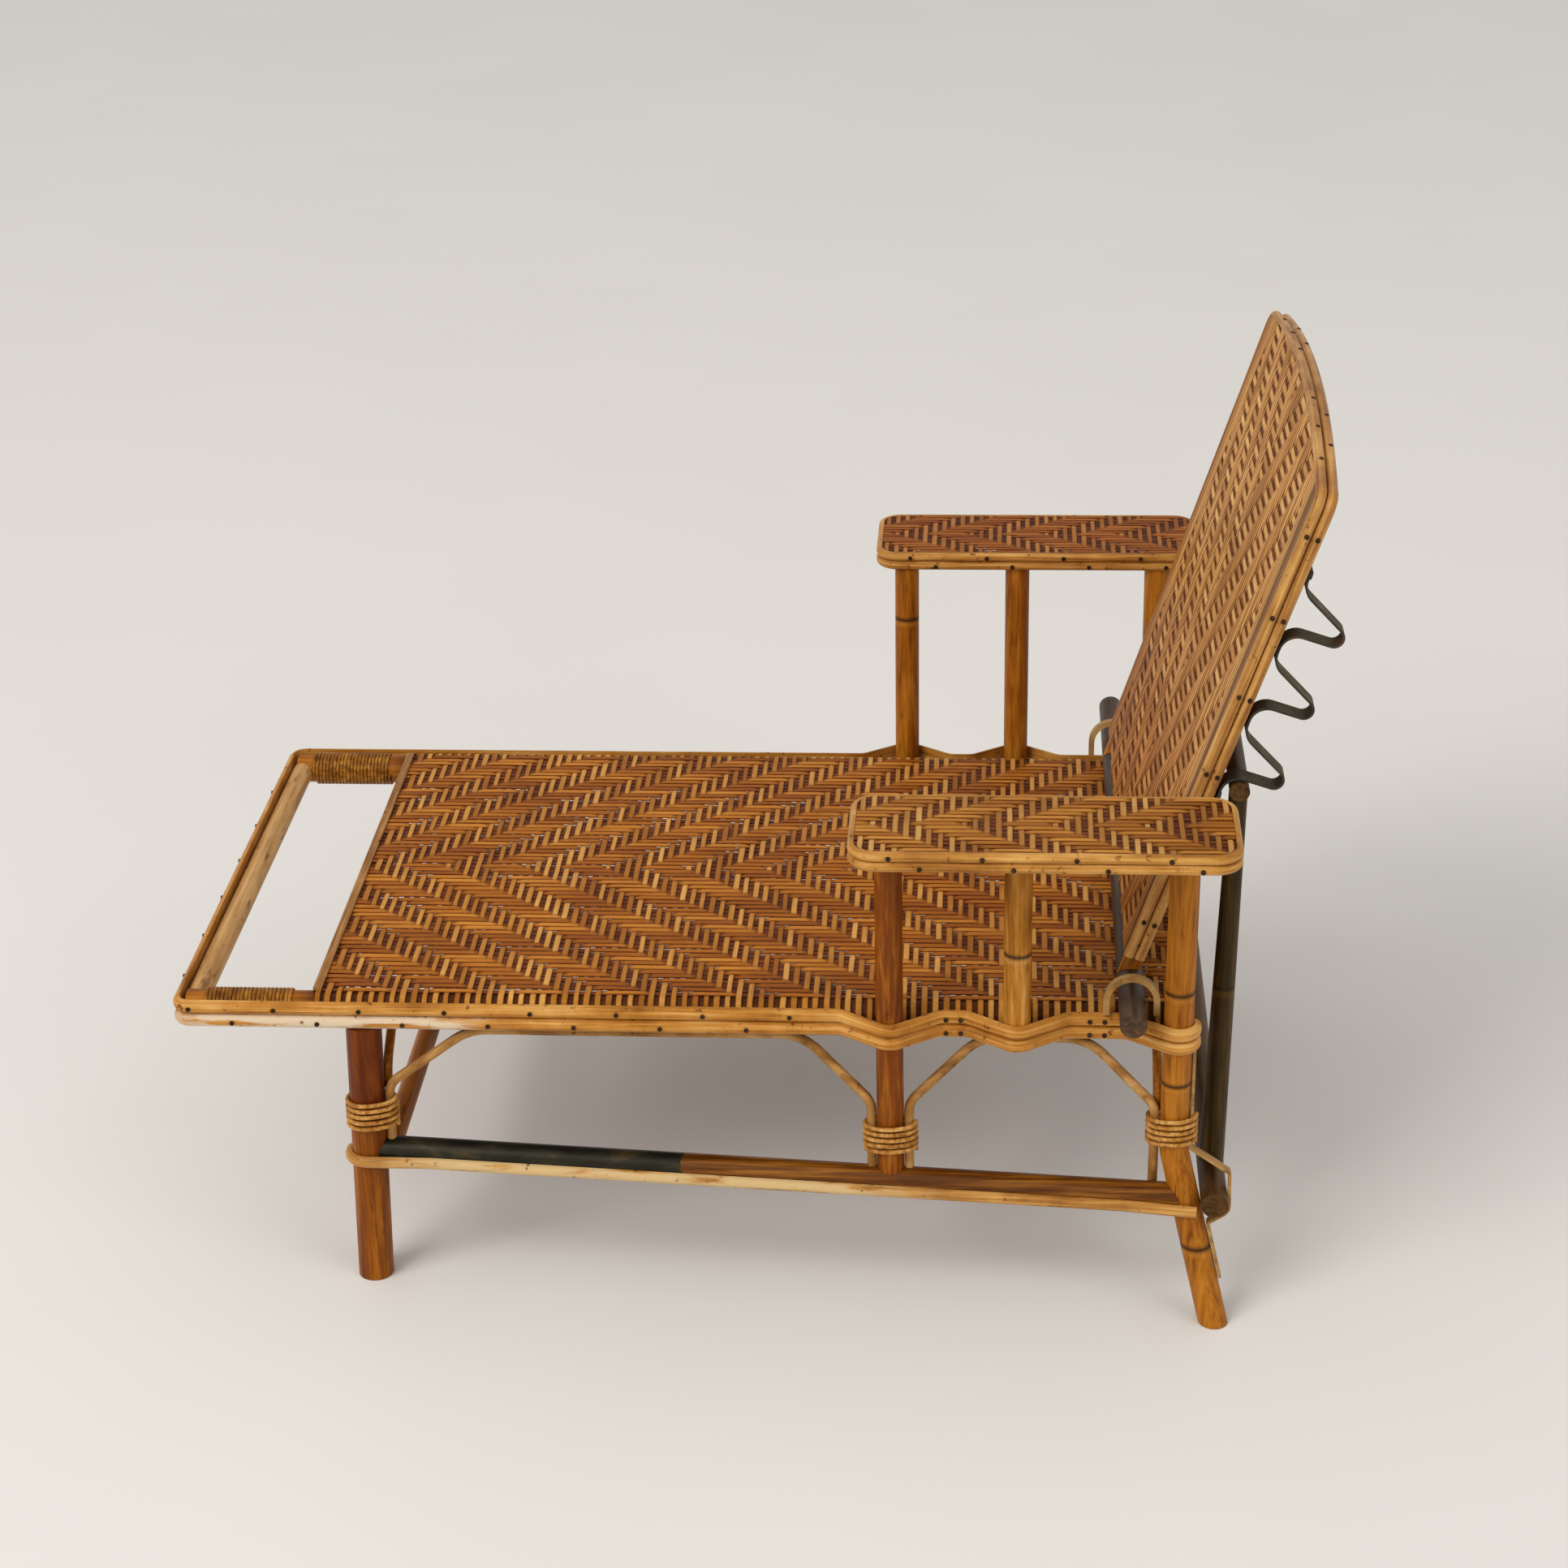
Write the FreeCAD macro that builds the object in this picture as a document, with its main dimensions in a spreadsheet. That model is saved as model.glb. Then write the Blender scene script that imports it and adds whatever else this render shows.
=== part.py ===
import FreeCAD, Part
import math
import os

# A child's chaise longue of rattan poles and woven cane, in millimetres.
# +X points to the head end, -Y is the sitter's left, +Z is up, and the floor is Z = 0.
# The origin lies on the floor, in the middle of the whole length and width.

Vector = FreeCAD.Vector
ACROSS = Vector(0, 1, 0)
UP = Vector(0, 0, 1)
SIDES = (("left", -1), ("right", 1))

doc = FreeCAD.newDocument("chaise_longue")
sheet = doc.addObject("Spreadsheet::Sheet", "Sizes")

# Driving dimensions, grouped by the piece that they belong to
DRIVING = {
    # clearances and fits
    "fit_gap": 0.3,
    "running_gap": 0.35,
    "trim_overrun": 40.0,
    # seat frame
    "leg_spacing": 588.0,
    "legs_middle": 16.4,
    "foot_overhang": 135.0,
    "rear_overhang": 13.0,
    "rail_height": 224.5,
    "rail_diameter": 23.0,
    "rail_offset": 201.0,
    "rail_end_setback": 4.5,
    "foot_bar_diameter": 17.0,
    "weave_edge_setback": 102.0,
    "cross_rail_diameter": 18.0,
    "middle_rail_setback": 400.0,
    # woven seat
    "weave_thickness": 1.6,
    "binding_strip_width": 6.0,
    "binding_strip_thickness": 1.8,
    # half-round strips round the seat
    "strip_height": 10.4,
    "strip_thickness": 5.0,
    "strip_parting": 0.3,
    "strip_corner_radius": 9.0,
    "post_wrap_gap": 0.75,
    "wave_angle": 34.0,
    "wave_blend_radius": 13.0,
    "strip_tail": 4.0,
    # cane winding on the side rails
    "winding_wire": 1.6,
    "winding_gap": 0.15,
    "winding_length": 64.0,
    # legs, posts and stretchers
    "front_leg_diameter": 26.0,
    "front_leg_offset": 207.0,
    "front_leg_rake": 7.0,
    "rear_leg_diameter": 21.0,
    "post_diameter": 19.5,
    "post_seat_offset": 225.2,
    "post_arm_offset": 236.0,
    "front_post_setback": 203.5,
    "middle_post_setback": 113.5,
    "knee_height": 128.0,
    "knee_radius": 40.0,
    "rear_foot_offset": 250.0,
    "rear_foot_rake": 31.0,
    "stretcher_diameter": 20.0,
    "stretcher_front_height": 109.0,
    "stretcher_rear_height": 92.0,
    "front_stretcher_diameter": 16.0,
    "front_stretcher_setback": 15.0,
    "stretcher_strip_width": 9.0,
    "stretcher_strip_thickness": 4.5,
    "stretcher_strip_drop": 4.0,
    "stretcher_strip_ramp": 46.0,
    "stretcher_strip_bend": 60.0,
    "stretcher_strip_tail": 8.0,
    # braces and their bindings
    "brace_diameter": 7.0,
    "brace_gap": 0.25,
    "brace_foot_bend": 16.0,
    "brace_rail_bend": 40.0,
    "post_brace_reach": 64.0,
    "leg_brace_reach": 78.0,
    "rear_brace_reach": 63.0,
    "brace_bend_height": 164.0,
    "brace_offset": 205.0,
    "cross_brace_angle": 31.0,
    "cross_brace_foot": 157.0,
    "cross_brace_rise": 16.0,
    "cross_brace_bend": 24.0,
    "cross_brace_reach": 48.0,
    "binding_wire": 2.8,
    "binding_pitch": 4.9,
    "binding_gap": 0.2,
    "leg_binding_height": 129.4,
    "post_binding_height": 123.0,
    "rear_binding_height": 133.5,
    # armrests
    "arm_top_height": 411.0,
    "arm_length": 262.0,
    "arm_front_reach": 25.0,
    "arm_inner_offset": 222.7,
    "arm_width": 93.4,
    "arm_ring_diameter": 12.0,
    "arm_bar_diameter": 11.0,
    "arm_corner_radius": 14.0,
    "arm_strip_height": 6.9,
    "arm_strip_thickness": 4.5,
    # back
    "pivot_setback": 33.0,
    "pivot_bar_diameter": 19.0,
    "pivot_bar_left_reach": 254.0,
    "pivot_bar_right_reach": 288.0,
    "back_tilt": 18.4,
    "back_side_length": 381.5,
    "back_rise": 16.5,
    "back_bottom_half_width": 182.0,
    "back_top_half_width": 194.0,
    "back_pole_diameter": 14.5,
    "back_pole_shift": 2.75,
    "back_rail_diameter": 12.0,
    "back_lower_rail_height": 32.0,
    "back_middle_rail_height": 212.0,
    "back_weave_bottom": 20.0,
    "back_strip_width": 7.6,
    "back_strip_thickness": 4.3,
    "back_corner_radius": 9.0,
    # cane arches over the pivot bar
    "arch_inner_radius": 15.5,
    "arch_thickness": 4.5,
    "arch_width": 5.0,
    # iron rack
    "rack_thickness": 1.6,
    "rack_width": 15.5,
    "rack_offset": 189.2,
    "rack_first_notch": 169.0,
    "rack_pitch": 55.8,
    "rack_notch_gap": 0.9,
    "rack_notch_radius": 12.5,
    "rack_crest_depth": 44.7,
    "rack_crest_radius": 6.5,
    "rack_ramp_height": 40.0,
    "rack_ramp_radius": 15.0,
    "rack_tail": 17.0,
    "rack_head": 16.0,
    "screw_head_diameter": 6.0,
    "screw_head_height": 2.0,
    # prop frame
    "prop_bar_height": 94.0,
    "prop_bottom_bar_diameter": 19.6,
    "prop_bottom_bar_overhang": 15.6,
    "prop_top_bar_diameter": 14.0,
    "prop_top_bar_reach": 199.0,
    "prop_pole_diameter": 18.5,
    "prop_pole_top_diameter": 13.2,
    "prop_pole_butt_length": 16.0,
    "prop_pole_offset": 188.0,
    # cane loops that hold the prop's bottom bar
    "loop_thickness": 2.2,
    "loop_width": 7.0,
    "loop_leg_gap": 0.4,
    "loop_foot_height": 34.0,
    # nails
    "nail_head_diameter": 3.4,
    "nail_head_height": 1.0,
    "nail_seat_gap": 0.1,
    "nail_pitch": 62.0,
}
for row, (alias, value) in enumerate(DRIVING.items(), start=1):
    sheet.set("A%d" % row, alias)
    sheet.set("B%d" % row, str(value))
    sheet.setAlias("B%d" % row, alias)
doc.recompute()


def size(alias):
    return float(sheet.get(alias))


# Counts
WINDING_TURNS = 22
BINDING_TURNS = 5
NOTCHES = 3
STEPS_PER_TURN = 4
SEARCH_STEPS = 60

nodes = []


def keep(obj, label):
    obj.Label = label
    nodes.append(obj)
    return obj


def feature(label, shape, placement=None):
    obj = doc.addObject("Part::Feature", label)
    obj.Shape = shape
    if placement is not None:
        obj.Placement = placement
    return keep(obj, label)


def cylinder(name, start, end, alias, grow_alias=None):
    """A round pole from start to end; grow_alias makes it a cutter with that clearance."""
    pole = doc.addObject("Part::Cylinder", name)
    radius = "Sizes.%s / 2" % alias
    if grow_alias:
        radius += " + Sizes.%s" % grow_alias
    pole.setExpression("Radius", radius)
    pole.Height = (end - start).Length
    pole.Placement = FreeCAD.Placement(start, FreeCAD.Rotation(UP, end - start))
    return pole


def cut(name, base, *tools):
    for number, tool in enumerate(tools):
        result = doc.addObject("Part::Cut", "%s_cut_%d" % (name, number))
        result.Base = base
        result.Tool = tool
        base = result
    return base


def slab(name, low, high):
    """Everything of the object between two heights, to trim leaning poles flat."""
    box = doc.addObject("Part::Box", name)
    reach = size("leg_spacing")
    box.Length = 2 * reach
    box.Width = 2 * reach
    box.Height = high - low
    box.Placement.Base = Vector(-reach, -reach, low)
    return box


def common(name, first, second):
    result = doc.addObject("Part::Common", name)
    result.Base = first
    result.Tool = second
    return result


def rounded_wire(points, radii, closed=False):
    """Straight runs joined by tangent arcs; a closed wire starts on its first point."""
    corners = list(zip(points[1:], radii))
    edges = []
    last = points[0]
    ends = points[1:] + [points[0]] if closed else points[1:]
    for index, (corner, radius) in enumerate(corners):
        after = ends[index + 1] if index + 1 < len(ends) else None
        if after is None:
            break
        back = (last - corner).normalize()
        ahead = (after - corner).normalize()
        half = back.getAngle(ahead) / 2
        start = corner + back * (radius / math.tan(half))
        end = corner + ahead * (radius / math.tan(half))
        middle = corner + (back + ahead).normalize() * (radius / math.sin(half) - radius)
        edges.append(Part.LineSegment(last, start).toShape())
        edges.append(Part.Arc(start, middle, end).toShape())
        last = end
    edges.append(Part.LineSegment(last, ends[-1]).toShape())
    return Part.Wire(edges)


def sweep(path, section):
    solid = path.makePipeShell([section], True, False)
    if solid.Volume < 0:
        solid.reverse()
    return solid


def level_sweep(path, section):
    """A sweep along a level path, with the section kept upright all the way."""
    shell = Part.BRepOffsetAPI.MakePipeShell(path)
    shell.setBiNormalMode(UP)
    shell.add(section)
    shell.build()
    shell.makeSolid()
    solid = shell.shape()
    if solid.Volume < 0:
        solid.reverse()
    return solid


def round_section(path, diameter):
    edge = path.OrderedEdges[0]
    start = edge.valueAt(edge.FirstParameter)
    tangent = edge.tangentAt(edge.FirstParameter)
    circle = Part.makeCircle(diameter / 2, start, tangent)
    return Part.Wire([circle])


def half_round_section(path, outward, width, thickness):
    """A flat inner face on the path, and a rounded outer face."""
    edge = path.OrderedEdges[0]
    start = edge.valueAt(edge.FirstParameter)
    tangent = edge.tangentAt(edge.FirstParameter)
    along_width = tangent.cross(outward).normalize() * (width / 2)
    low = start - along_width
    high = start + along_width
    arc = Part.Arc(low, start + outward * thickness, high).toShape()
    return Part.Wire([arc, Part.LineSegment(high, low).toShape()])


def flat_section(path, across, width, thickness):
    """A rectangle centred on the path, its width along the given direction."""
    edge = path.OrderedEdges[0]
    start = edge.valueAt(edge.FirstParameter)
    tangent = edge.tangentAt(edge.FirstParameter)
    half_width = across * (width / 2)
    half_thick = tangent.cross(across).normalize() * (thickness / 2)
    corners = [start - half_width - half_thick, start + half_width - half_thick,
               start + half_width + half_thick, start - half_width + half_thick]
    return Part.makePolygon(corners + corners[:1])


# Places that the driving dimensions give
rail_radius = size("rail_diameter") / 2
x_front_leg = size("legs_middle") - size("leg_spacing") / 2
x_rear_leg = size("legs_middle") + size("leg_spacing") / 2
x_foot_end = x_front_leg - size("foot_overhang")
x_seat_rear = x_rear_leg + size("rear_overhang")
x_front_post = x_rear_leg - size("front_post_setback")
x_middle_post = x_rear_leg - size("middle_post_setback")
rail_top = size("rail_height") + rail_radius
rail_bottom = size("rail_height") - rail_radius
weave_outside = size("rail_offset") + rail_radius + size("weave_thickness")
strip_inside = weave_outside + size("fit_gap")
arm_ring_height = (size("arm_top_height") - size("weave_thickness") - size("fit_gap")
                   - size("arm_ring_diameter") / 2)
arm_underside = arm_ring_height - size("arm_ring_diameter") / 2
post_lean_share = ((size("post_arm_offset") - size("post_seat_offset"))
                   / (arm_underside - size("rail_height")))


def post_offset(height):
    """How far out the leaning posts and rear legs stand at a height above the knee."""
    return size("post_seat_offset") + post_lean_share * (height - size("rail_height"))


def post_point(x, side, height):
    return Vector(x, side * post_offset(height), height)


# Side rails: straight poles along both sides of the seat.
for name, side in SIDES:
    y = side * size("rail_offset")
    start = Vector(x_foot_end + size("strip_thickness") + size("rail_end_setback"), y, size("rail_height"))
    rail = cylinder("side_rail_" + name, start, Vector(x_seat_rear, y, size("rail_height")), "rail_diameter")
    keep(rail, "side_rail_" + name)


def fat_rail(name, side, gap="fit_gap"):
    y = side * size("rail_offset")
    start = Vector(x_foot_end, y, size("rail_height"))
    end = Vector(x_seat_rear + size("trim_overrun"), y, size("rail_height"))
    return cylinder(name, start, end, "rail_diameter", gap)


def cross_rail(label, x, height, alias):
    """A pole between the side rails, its ends hollowed to fit them."""
    y = size("rail_offset")
    pole = cylinder(label + "_stock", Vector(x, -y, height), Vector(x, y, height), alias)
    trimmed = cut(label, pole, fat_rail(label + "_left", -1), fat_rail(label + "_right", 1))
    return keep(trimmed, label)


# Foot bar, the pole to lift the foot end by, and the cross rails under the weave.
foot_bar_radius = size("foot_bar_diameter") / 2
x_foot_bar = x_foot_end + size("strip_thickness") + size("fit_gap") + foot_bar_radius
x_weave_edge = x_foot_end + size("weave_edge_setback")
cross_radius = size("cross_rail_diameter") / 2
cross_height = rail_top - size("fit_gap") - cross_radius
x_edge_rail = x_weave_edge + cross_radius
x_middle_rail = x_foot_end + size("middle_rail_setback")
x_rear_rail = x_seat_rear - cross_radius
cross_rail("foot_bar", x_foot_bar, size("rail_height"), "foot_bar_diameter")
cross_rail("weave_edge_rail", x_edge_rail, cross_height, "cross_rail_diameter")
cross_rail("seat_middle_rail", x_middle_rail, cross_height, "cross_rail_diameter")
cross_rail("seat_rear_rail", x_rear_rail, cross_height, "cross_rail_diameter")

# Woven seat: a sheet laid over the side rails and turned down outside them.
weave_body = doc.addObject("PartDesign::Body", "seat_weave")


def plane_of(body, role):
    return [plane for plane in body.Origin.OriginFeatures if plane.Role == role][0]


def sketch_on(body, name, role):
    sketch = body.newObject("Sketcher::SketchObject", name)
    sketch.AttachmentSupport = [(plane_of(body, role), "")]
    sketch.MapMode = "FlatFace"
    return sketch


def pad(body, sketch, name, expression):
    result = body.newObject("PartDesign::Pad", name)
    result.Profile = sketch
    result.setExpression("Length", expression)
    sketch.Visibility = False
    return result


def draw_outline(sketch, outline):
    for edge in outline.OrderedEdges:
        low = edge.valueAt(edge.FirstParameter)
        high = edge.valueAt(edge.LastParameter)
        if hasattr(edge.Curve, "Radius"):
            middle = edge.valueAt((edge.FirstParameter + edge.LastParameter) / 2)
            sketch.addGeometry(Part.Arc(low, middle, high), False)
        else:
            sketch.addGeometry(Part.LineSegment(low, high), False)


weave_sketch = sketch_on(weave_body, "weave_profile", "YZ_Plane")
inner = rail_radius
outer = rail_radius + size("weave_thickness")
half = size("rail_offset")
axis = size("rail_height")
weave_sketch.addGeometry([
    Part.LineSegment(Vector(-half, axis + outer, 0), Vector(half, axis + outer, 0)),
    Part.ArcOfCircle(Part.Circle(Vector(half, axis, 0), UP, outer), 0, math.pi / 2),
    Part.LineSegment(Vector(half + outer, axis, 0), Vector(half + inner, axis, 0)),
    Part.ArcOfCircle(Part.Circle(Vector(half, axis, 0), UP, inner), 0, math.pi / 2),
    Part.LineSegment(Vector(half, axis + inner, 0), Vector(-half, axis + inner, 0)),
    Part.ArcOfCircle(Part.Circle(Vector(-half, axis, 0), UP, inner), math.pi / 2, math.pi),
    Part.LineSegment(Vector(-half - inner, axis, 0), Vector(-half - outer, axis, 0)),
    Part.ArcOfCircle(Part.Circle(Vector(-half, axis, 0), UP, outer), math.pi / 2, math.pi),
], False)
pad(weave_body, weave_sketch, "weave_sheet",
    "Sizes.leg_spacing + Sizes.foot_overhang + Sizes.rear_overhang - Sizes.weave_edge_setback")
weave_body.Placement.Base = Vector(x_weave_edge, 0, 0)
keep(weave_body, "seat_weave")
weave_top = rail_top + size("weave_thickness")

# Flat strip nailed over the front edge of the weave.
edge_strip = doc.addObject("Part::Box", "weave_edge_strip")
edge_strip.setExpression("Length", "Sizes.binding_strip_width")
edge_strip.setExpression("Width", "2 * Sizes.rail_offset")
edge_strip.setExpression("Height", "Sizes.binding_strip_thickness")
edge_strip.Placement.Base = Vector(x_weave_edge, -size("rail_offset"), weave_top)
keep(edge_strip, "weave_edge_strip")


# Half-round edge strips, one above the other: along the sides, round the foot end and each post.
def wave_corners(x_post, offset, radius):
    """Where a strip leaves its straight line, tops a post, and comes back, in plan."""
    slope = math.radians(size("wave_angle"))
    peak = offset + radius / math.cos(slope)
    run = (peak - strip_inside) / math.tan(slope)
    return [(x_post - run, strip_inside), (x_post, peak), (x_post + run, strip_inside)]


def edge_strip_path(height):
    post_radius = size("post_diameter") / 2 + size("post_wrap_gap")
    leg_radius = size("rear_leg_diameter") / 2 + size("post_wrap_gap")
    blend = size("wave_blend_radius")
    offset = post_offset(height)
    slope = math.radians(size("wave_angle"))
    run = (offset + leg_radius / math.cos(slope) - strip_inside) / math.tan(slope)
    plan = [(x_rear_leg + leg_radius, offset - size("strip_tail")),
            (x_rear_leg + leg_radius, strip_inside + (run + leg_radius) * math.tan(slope)),
            (x_rear_leg - run, strip_inside)]
    radii = [leg_radius, blend]
    for x_post in (x_middle_post, x_front_post):
        plan += reversed(wave_corners(x_post, offset, post_radius))
        radii += [blend, post_radius, blend]
    plan += [(x_foot_end + size("strip_thickness"), strip_inside), (x_foot_end + size("strip_thickness"), 0)]
    radii.append(size("strip_corner_radius"))
    return rounded_wire([Vector(x, y, height) for x, y in reversed(plan)], radii[::-1])


strip_middles = {
    "upper": rail_top - size("strip_height") / 2,
    "lower": rail_top - size("strip_height") * 1.5 - size("strip_parting"),
}
for name, height in strip_middles.items():
    path = edge_strip_path(height)
    section = half_round_section(path, Vector(-1, 0, 0), size("strip_height"), size("strip_thickness"))
    half = level_sweep(path, section)
    whole = half.fuse(half.mirror(Vector(0, 0, 0), Vector(0, 1, 0))).removeSplitter()
    feature("edge_strip_" + name, whole)


# Legs: front legs under the side rails, rear legs bent from the armrests to the splayed feet.
def front_leg_axis(side, height):
    lean = size("front_leg_rake") * (size("rail_height") - height) / size("rail_height")
    return Vector(x_front_leg + size("front_leg_rake") / 2 - lean, side * size("front_leg_offset"), height)


knee = size("knee_height")


def rear_leg_axis(side, height):
    if height >= knee:
        return post_point(x_rear_leg, side, height)
    share = (knee - height) / knee
    out = post_offset(knee) + (size("rear_foot_offset") - post_offset(knee)) * share
    return Vector(x_rear_leg + size("rear_foot_rake") * share, side * out, height)


def rear_leg_upper(side, height):
    return post_point(x_rear_leg, side, height)


def front_leg_cylinder(name, side, gap=None):
    down = front_leg_axis(side, -size("trim_overrun"))
    return cylinder(name, down, front_leg_axis(side, size("rail_height")), "front_leg_diameter", gap)


def rear_leg_shape(side, gap):
    points = [rear_leg_axis(side, -size("trim_overrun")), rear_leg_axis(side, knee),
              rear_leg_axis(side, arm_underside + size("trim_overrun"))]
    path = rounded_wire(points, [size("knee_radius")])
    return sweep(path, round_section(path, size("rear_leg_diameter") + 2 * gap))


strip_bottom = strip_middles["lower"] - size("strip_height") / 2
standing = slab("floor_to_strips", 0, strip_bottom - size("fit_gap"))
for name, side in SIDES:
    stock = front_leg_cylinder("front_leg_stock_" + name, side)
    trimmed = common("front_leg_trim_" + name, stock, standing)
    leg = cut("front_leg_" + name, trimmed, fat_rail("front_leg_rail_" + name, side))
    keep(leg, "front_leg_" + name)

reach = size("leg_spacing")
room = Part.makeBox(2 * reach, 2 * reach, arm_underside - size("nail_seat_gap"), Vector(-reach, -reach, 0))
for name, side in SIDES:
    feature("rear_leg_" + name, rear_leg_shape(side, 0).common(room))


# Side stretchers between the legs, with a half-round strip nailed outside.
def stretcher_axis(side, x):
    front = front_leg_axis(side, size("stretcher_front_height"))
    rear = rear_leg_axis(side, size("stretcher_rear_height"))
    return front + (rear - front) * ((x - front.x) / (rear.x - front.x))


def stretcher_cylinder(name, side, gap=None):
    front = front_leg_axis(side, size("stretcher_front_height"))
    rear = rear_leg_axis(side, size("stretcher_rear_height"))
    return cylinder(name, front, rear, "stretcher_diameter", gap)


for name, side in SIDES:
    stock = stretcher_cylinder("side_stretcher_stock_" + name, side)
    leg_tool = doc.addObject("Part::Feature", "rear_leg_cutter_" + name)
    leg_tool.Shape = rear_leg_shape(side, size("fit_gap"))
    front_tool = front_leg_cylinder("front_leg_cutter_" + name, side, "fit_gap")
    keep(cut("side_stretcher_" + name, stock, front_tool, leg_tool), "side_stretcher_" + name)

x_front_stretcher = x_front_leg + size("front_stretcher_setback")
low = stretcher_axis(-1, x_front_stretcher)
high = stretcher_axis(1, x_front_stretcher)
stock = cylinder("front_stretcher_stock", low, high, "front_stretcher_diameter")
front_tools = [stretcher_cylinder("stretcher_cutter_" + name, side, "fit_gap") for name, side in SIDES]
front_tools += [front_leg_cylinder("leg_cutter_" + name, side, "fit_gap") for name, side in SIDES]
keep(cut("front_stretcher", stock, *front_tools), "front_stretcher")


def tangent_corner(centre, radius, point, toward, reach):
    """The tangent from a point over a circle's outer side, followed to a reach beyond its centre."""
    to_centre = (centre[0] - point[0], centre[1] - point[1])
    distance = math.hypot(*to_centre)
    turn = toward * math.asin(radius / distance)
    direction = (to_centre[0] * math.cos(turn) - to_centre[1] * math.sin(turn),
                 to_centre[0] * math.sin(turn) + to_centre[1] * math.cos(turn))
    x_far = centre[0] + toward * reach
    along = (x_far - point[0]) / direction[0]
    return (x_far, point[1] + direction[1] * along)


def stretcher_strip_path(side):
    front = front_leg_axis(side, size("stretcher_front_height"))
    rear = rear_leg_axis(side, size("stretcher_rear_height"))
    slope = (rear.z - front.z) / (rear.x - front.x)
    front_radius = size("front_leg_diameter") / 2 + size("post_wrap_gap")
    rear_radius = size("rear_leg_diameter") / 2 + size("post_wrap_gap")
    strip_foot = rear.z - size("stretcher_strip_drop") - size("stretcher_strip_width") / 2
    rear_centre = (rear.x, abs(rear_leg_axis(side, strip_foot).y))
    x_near = front.x + size("stretcher_strip_ramp")
    x_far = rear.x - size("stretcher_strip_ramp")
    outside = size("stretcher_diameter") / 2 + size("fit_gap")
    near = (x_near, abs(stretcher_axis(side, x_near).y) + outside)
    far = (x_far, abs(stretcher_axis(side, x_far).y) + outside)
    front_centre = (front.x, abs(front.y))
    plan = [(front.x - front_radius, abs(front.y) - size("strip_tail")),
            tangent_corner(front_centre, front_radius, near, -1, front_radius),
            near, far,
            tangent_corner(rear_centre, rear_radius, far, 1, size("stretcher_strip_tail"))]
    blend = size("stretcher_strip_bend")
    drop = size("stretcher_strip_drop")
    points = [Vector(x, side * y, front.z - drop + slope * (x - front.x)) for x, y in plan]
    return rounded_wire(points, [front_radius, blend, blend])


for name, side in SIDES:
    path = stretcher_strip_path(side)
    section = half_round_section(path, Vector(-1, 0, 0), size("stretcher_strip_width"),
                                 size("stretcher_strip_thickness"))
    feature("stretcher_strip_" + name, sweep(path, section))

# Arm posts: the front ones stand on the stretchers, the middle ones end at the seat's edge.
post_tops = slab("up_to_arms", 0, arm_underside - size("nail_seat_gap"))
middle_room = slab("seat_to_arms", strip_bottom, arm_underside - size("nail_seat_gap"))
for name, side in SIDES:
    low = post_point(x_front_post, side, stretcher_axis(side, x_front_post).z)
    high = post_point(x_front_post, side, arm_underside + size("trim_overrun"))
    stock = cylinder("front_post_stock_" + name, low, high, "post_diameter")
    trimmed = common("front_post_trim_" + name, stock, post_tops)
    tool = stretcher_cylinder("front_post_cutter_" + name, side, "fit_gap")
    keep(cut("front_post_" + name, trimmed, tool), "front_post_" + name)
    low = post_point(x_middle_post, side, strip_bottom - size("trim_overrun"))
    high = post_point(x_middle_post, side, arm_underside + size("trim_overrun"))
    stock = cylinder("middle_post_stock_" + name, low, high, "post_diameter")
    keep(common("middle_post_" + name, stock, middle_room), "middle_post_" + name)


# Side braces: a thin rod from one leg's binding, under the side rail, down to the next binding.
def fat_rod(start, end, diameter):
    return Part.makeCylinder(diameter / 2 + size("fit_gap"), (end - start).Length, start, end - start)


def front_post_axis(side, height):
    return post_point(x_front_post, side, height)


def brace_foot(side, leg_axis, diameter, toward):
    """The two lowest points of a rod beside a leg; toward is 1 on the head side, -1 on the foot side."""
    aside = Vector(toward * (diameter / 2 + size("brace_gap") + size("brace_diameter") / 2), 0, 0)
    bend = leg_axis(side, size("brace_bend_height"))
    low = leg_axis(side, size("stretcher_rear_height"))
    return low + aside, bend + aside


def side_brace(side, first, first_size, first_reach, second, second_size, second_reach):
    run_height = rail_bottom - size("fit_gap") - size("brace_diameter") / 2
    low, bend = brace_foot(side, first, first_size, 1)
    far_low, far_bend = brace_foot(side, second, second_size, -1)
    y = side * size("brace_offset")
    near_rail = Vector(first(side, bend.z).x + first_reach, y, run_height)
    far_rail = Vector(second(side, bend.z).x - second_reach, y, run_height)
    points = [low, bend, near_rail, far_rail, far_bend, far_low]
    foot_bend = size("brace_foot_bend")
    rail_bend = size("brace_rail_bend")
    path = rounded_wire(points, [foot_bend, rail_bend, rail_bend, foot_bend])
    rod = sweep(path, round_section(path, size("brace_diameter")))
    front = front_leg_axis(side, size("stretcher_front_height"))
    rear = rear_leg_axis(side, size("stretcher_rear_height"))
    rod = rod.cut(fat_rod(front, rear, size("stretcher_diameter")))
    return max(rod.Solids, key=lambda piece: piece.Volume)


post_size = size("post_diameter")
leg_size = size("front_leg_diameter")
rear_size = size("rear_leg_diameter")
for name, side in SIDES:
    feature("side_brace_front_" + name, side_brace(side, front_leg_axis, leg_size, size("leg_brace_reach"),
                                                   front_post_axis, post_size, size("post_brace_reach")))
    feature("side_brace_rear_" + name, side_brace(side, front_post_axis, post_size, size("post_brace_reach"),
                                                  rear_leg_upper, rear_size, size("rear_brace_reach")))


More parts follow.
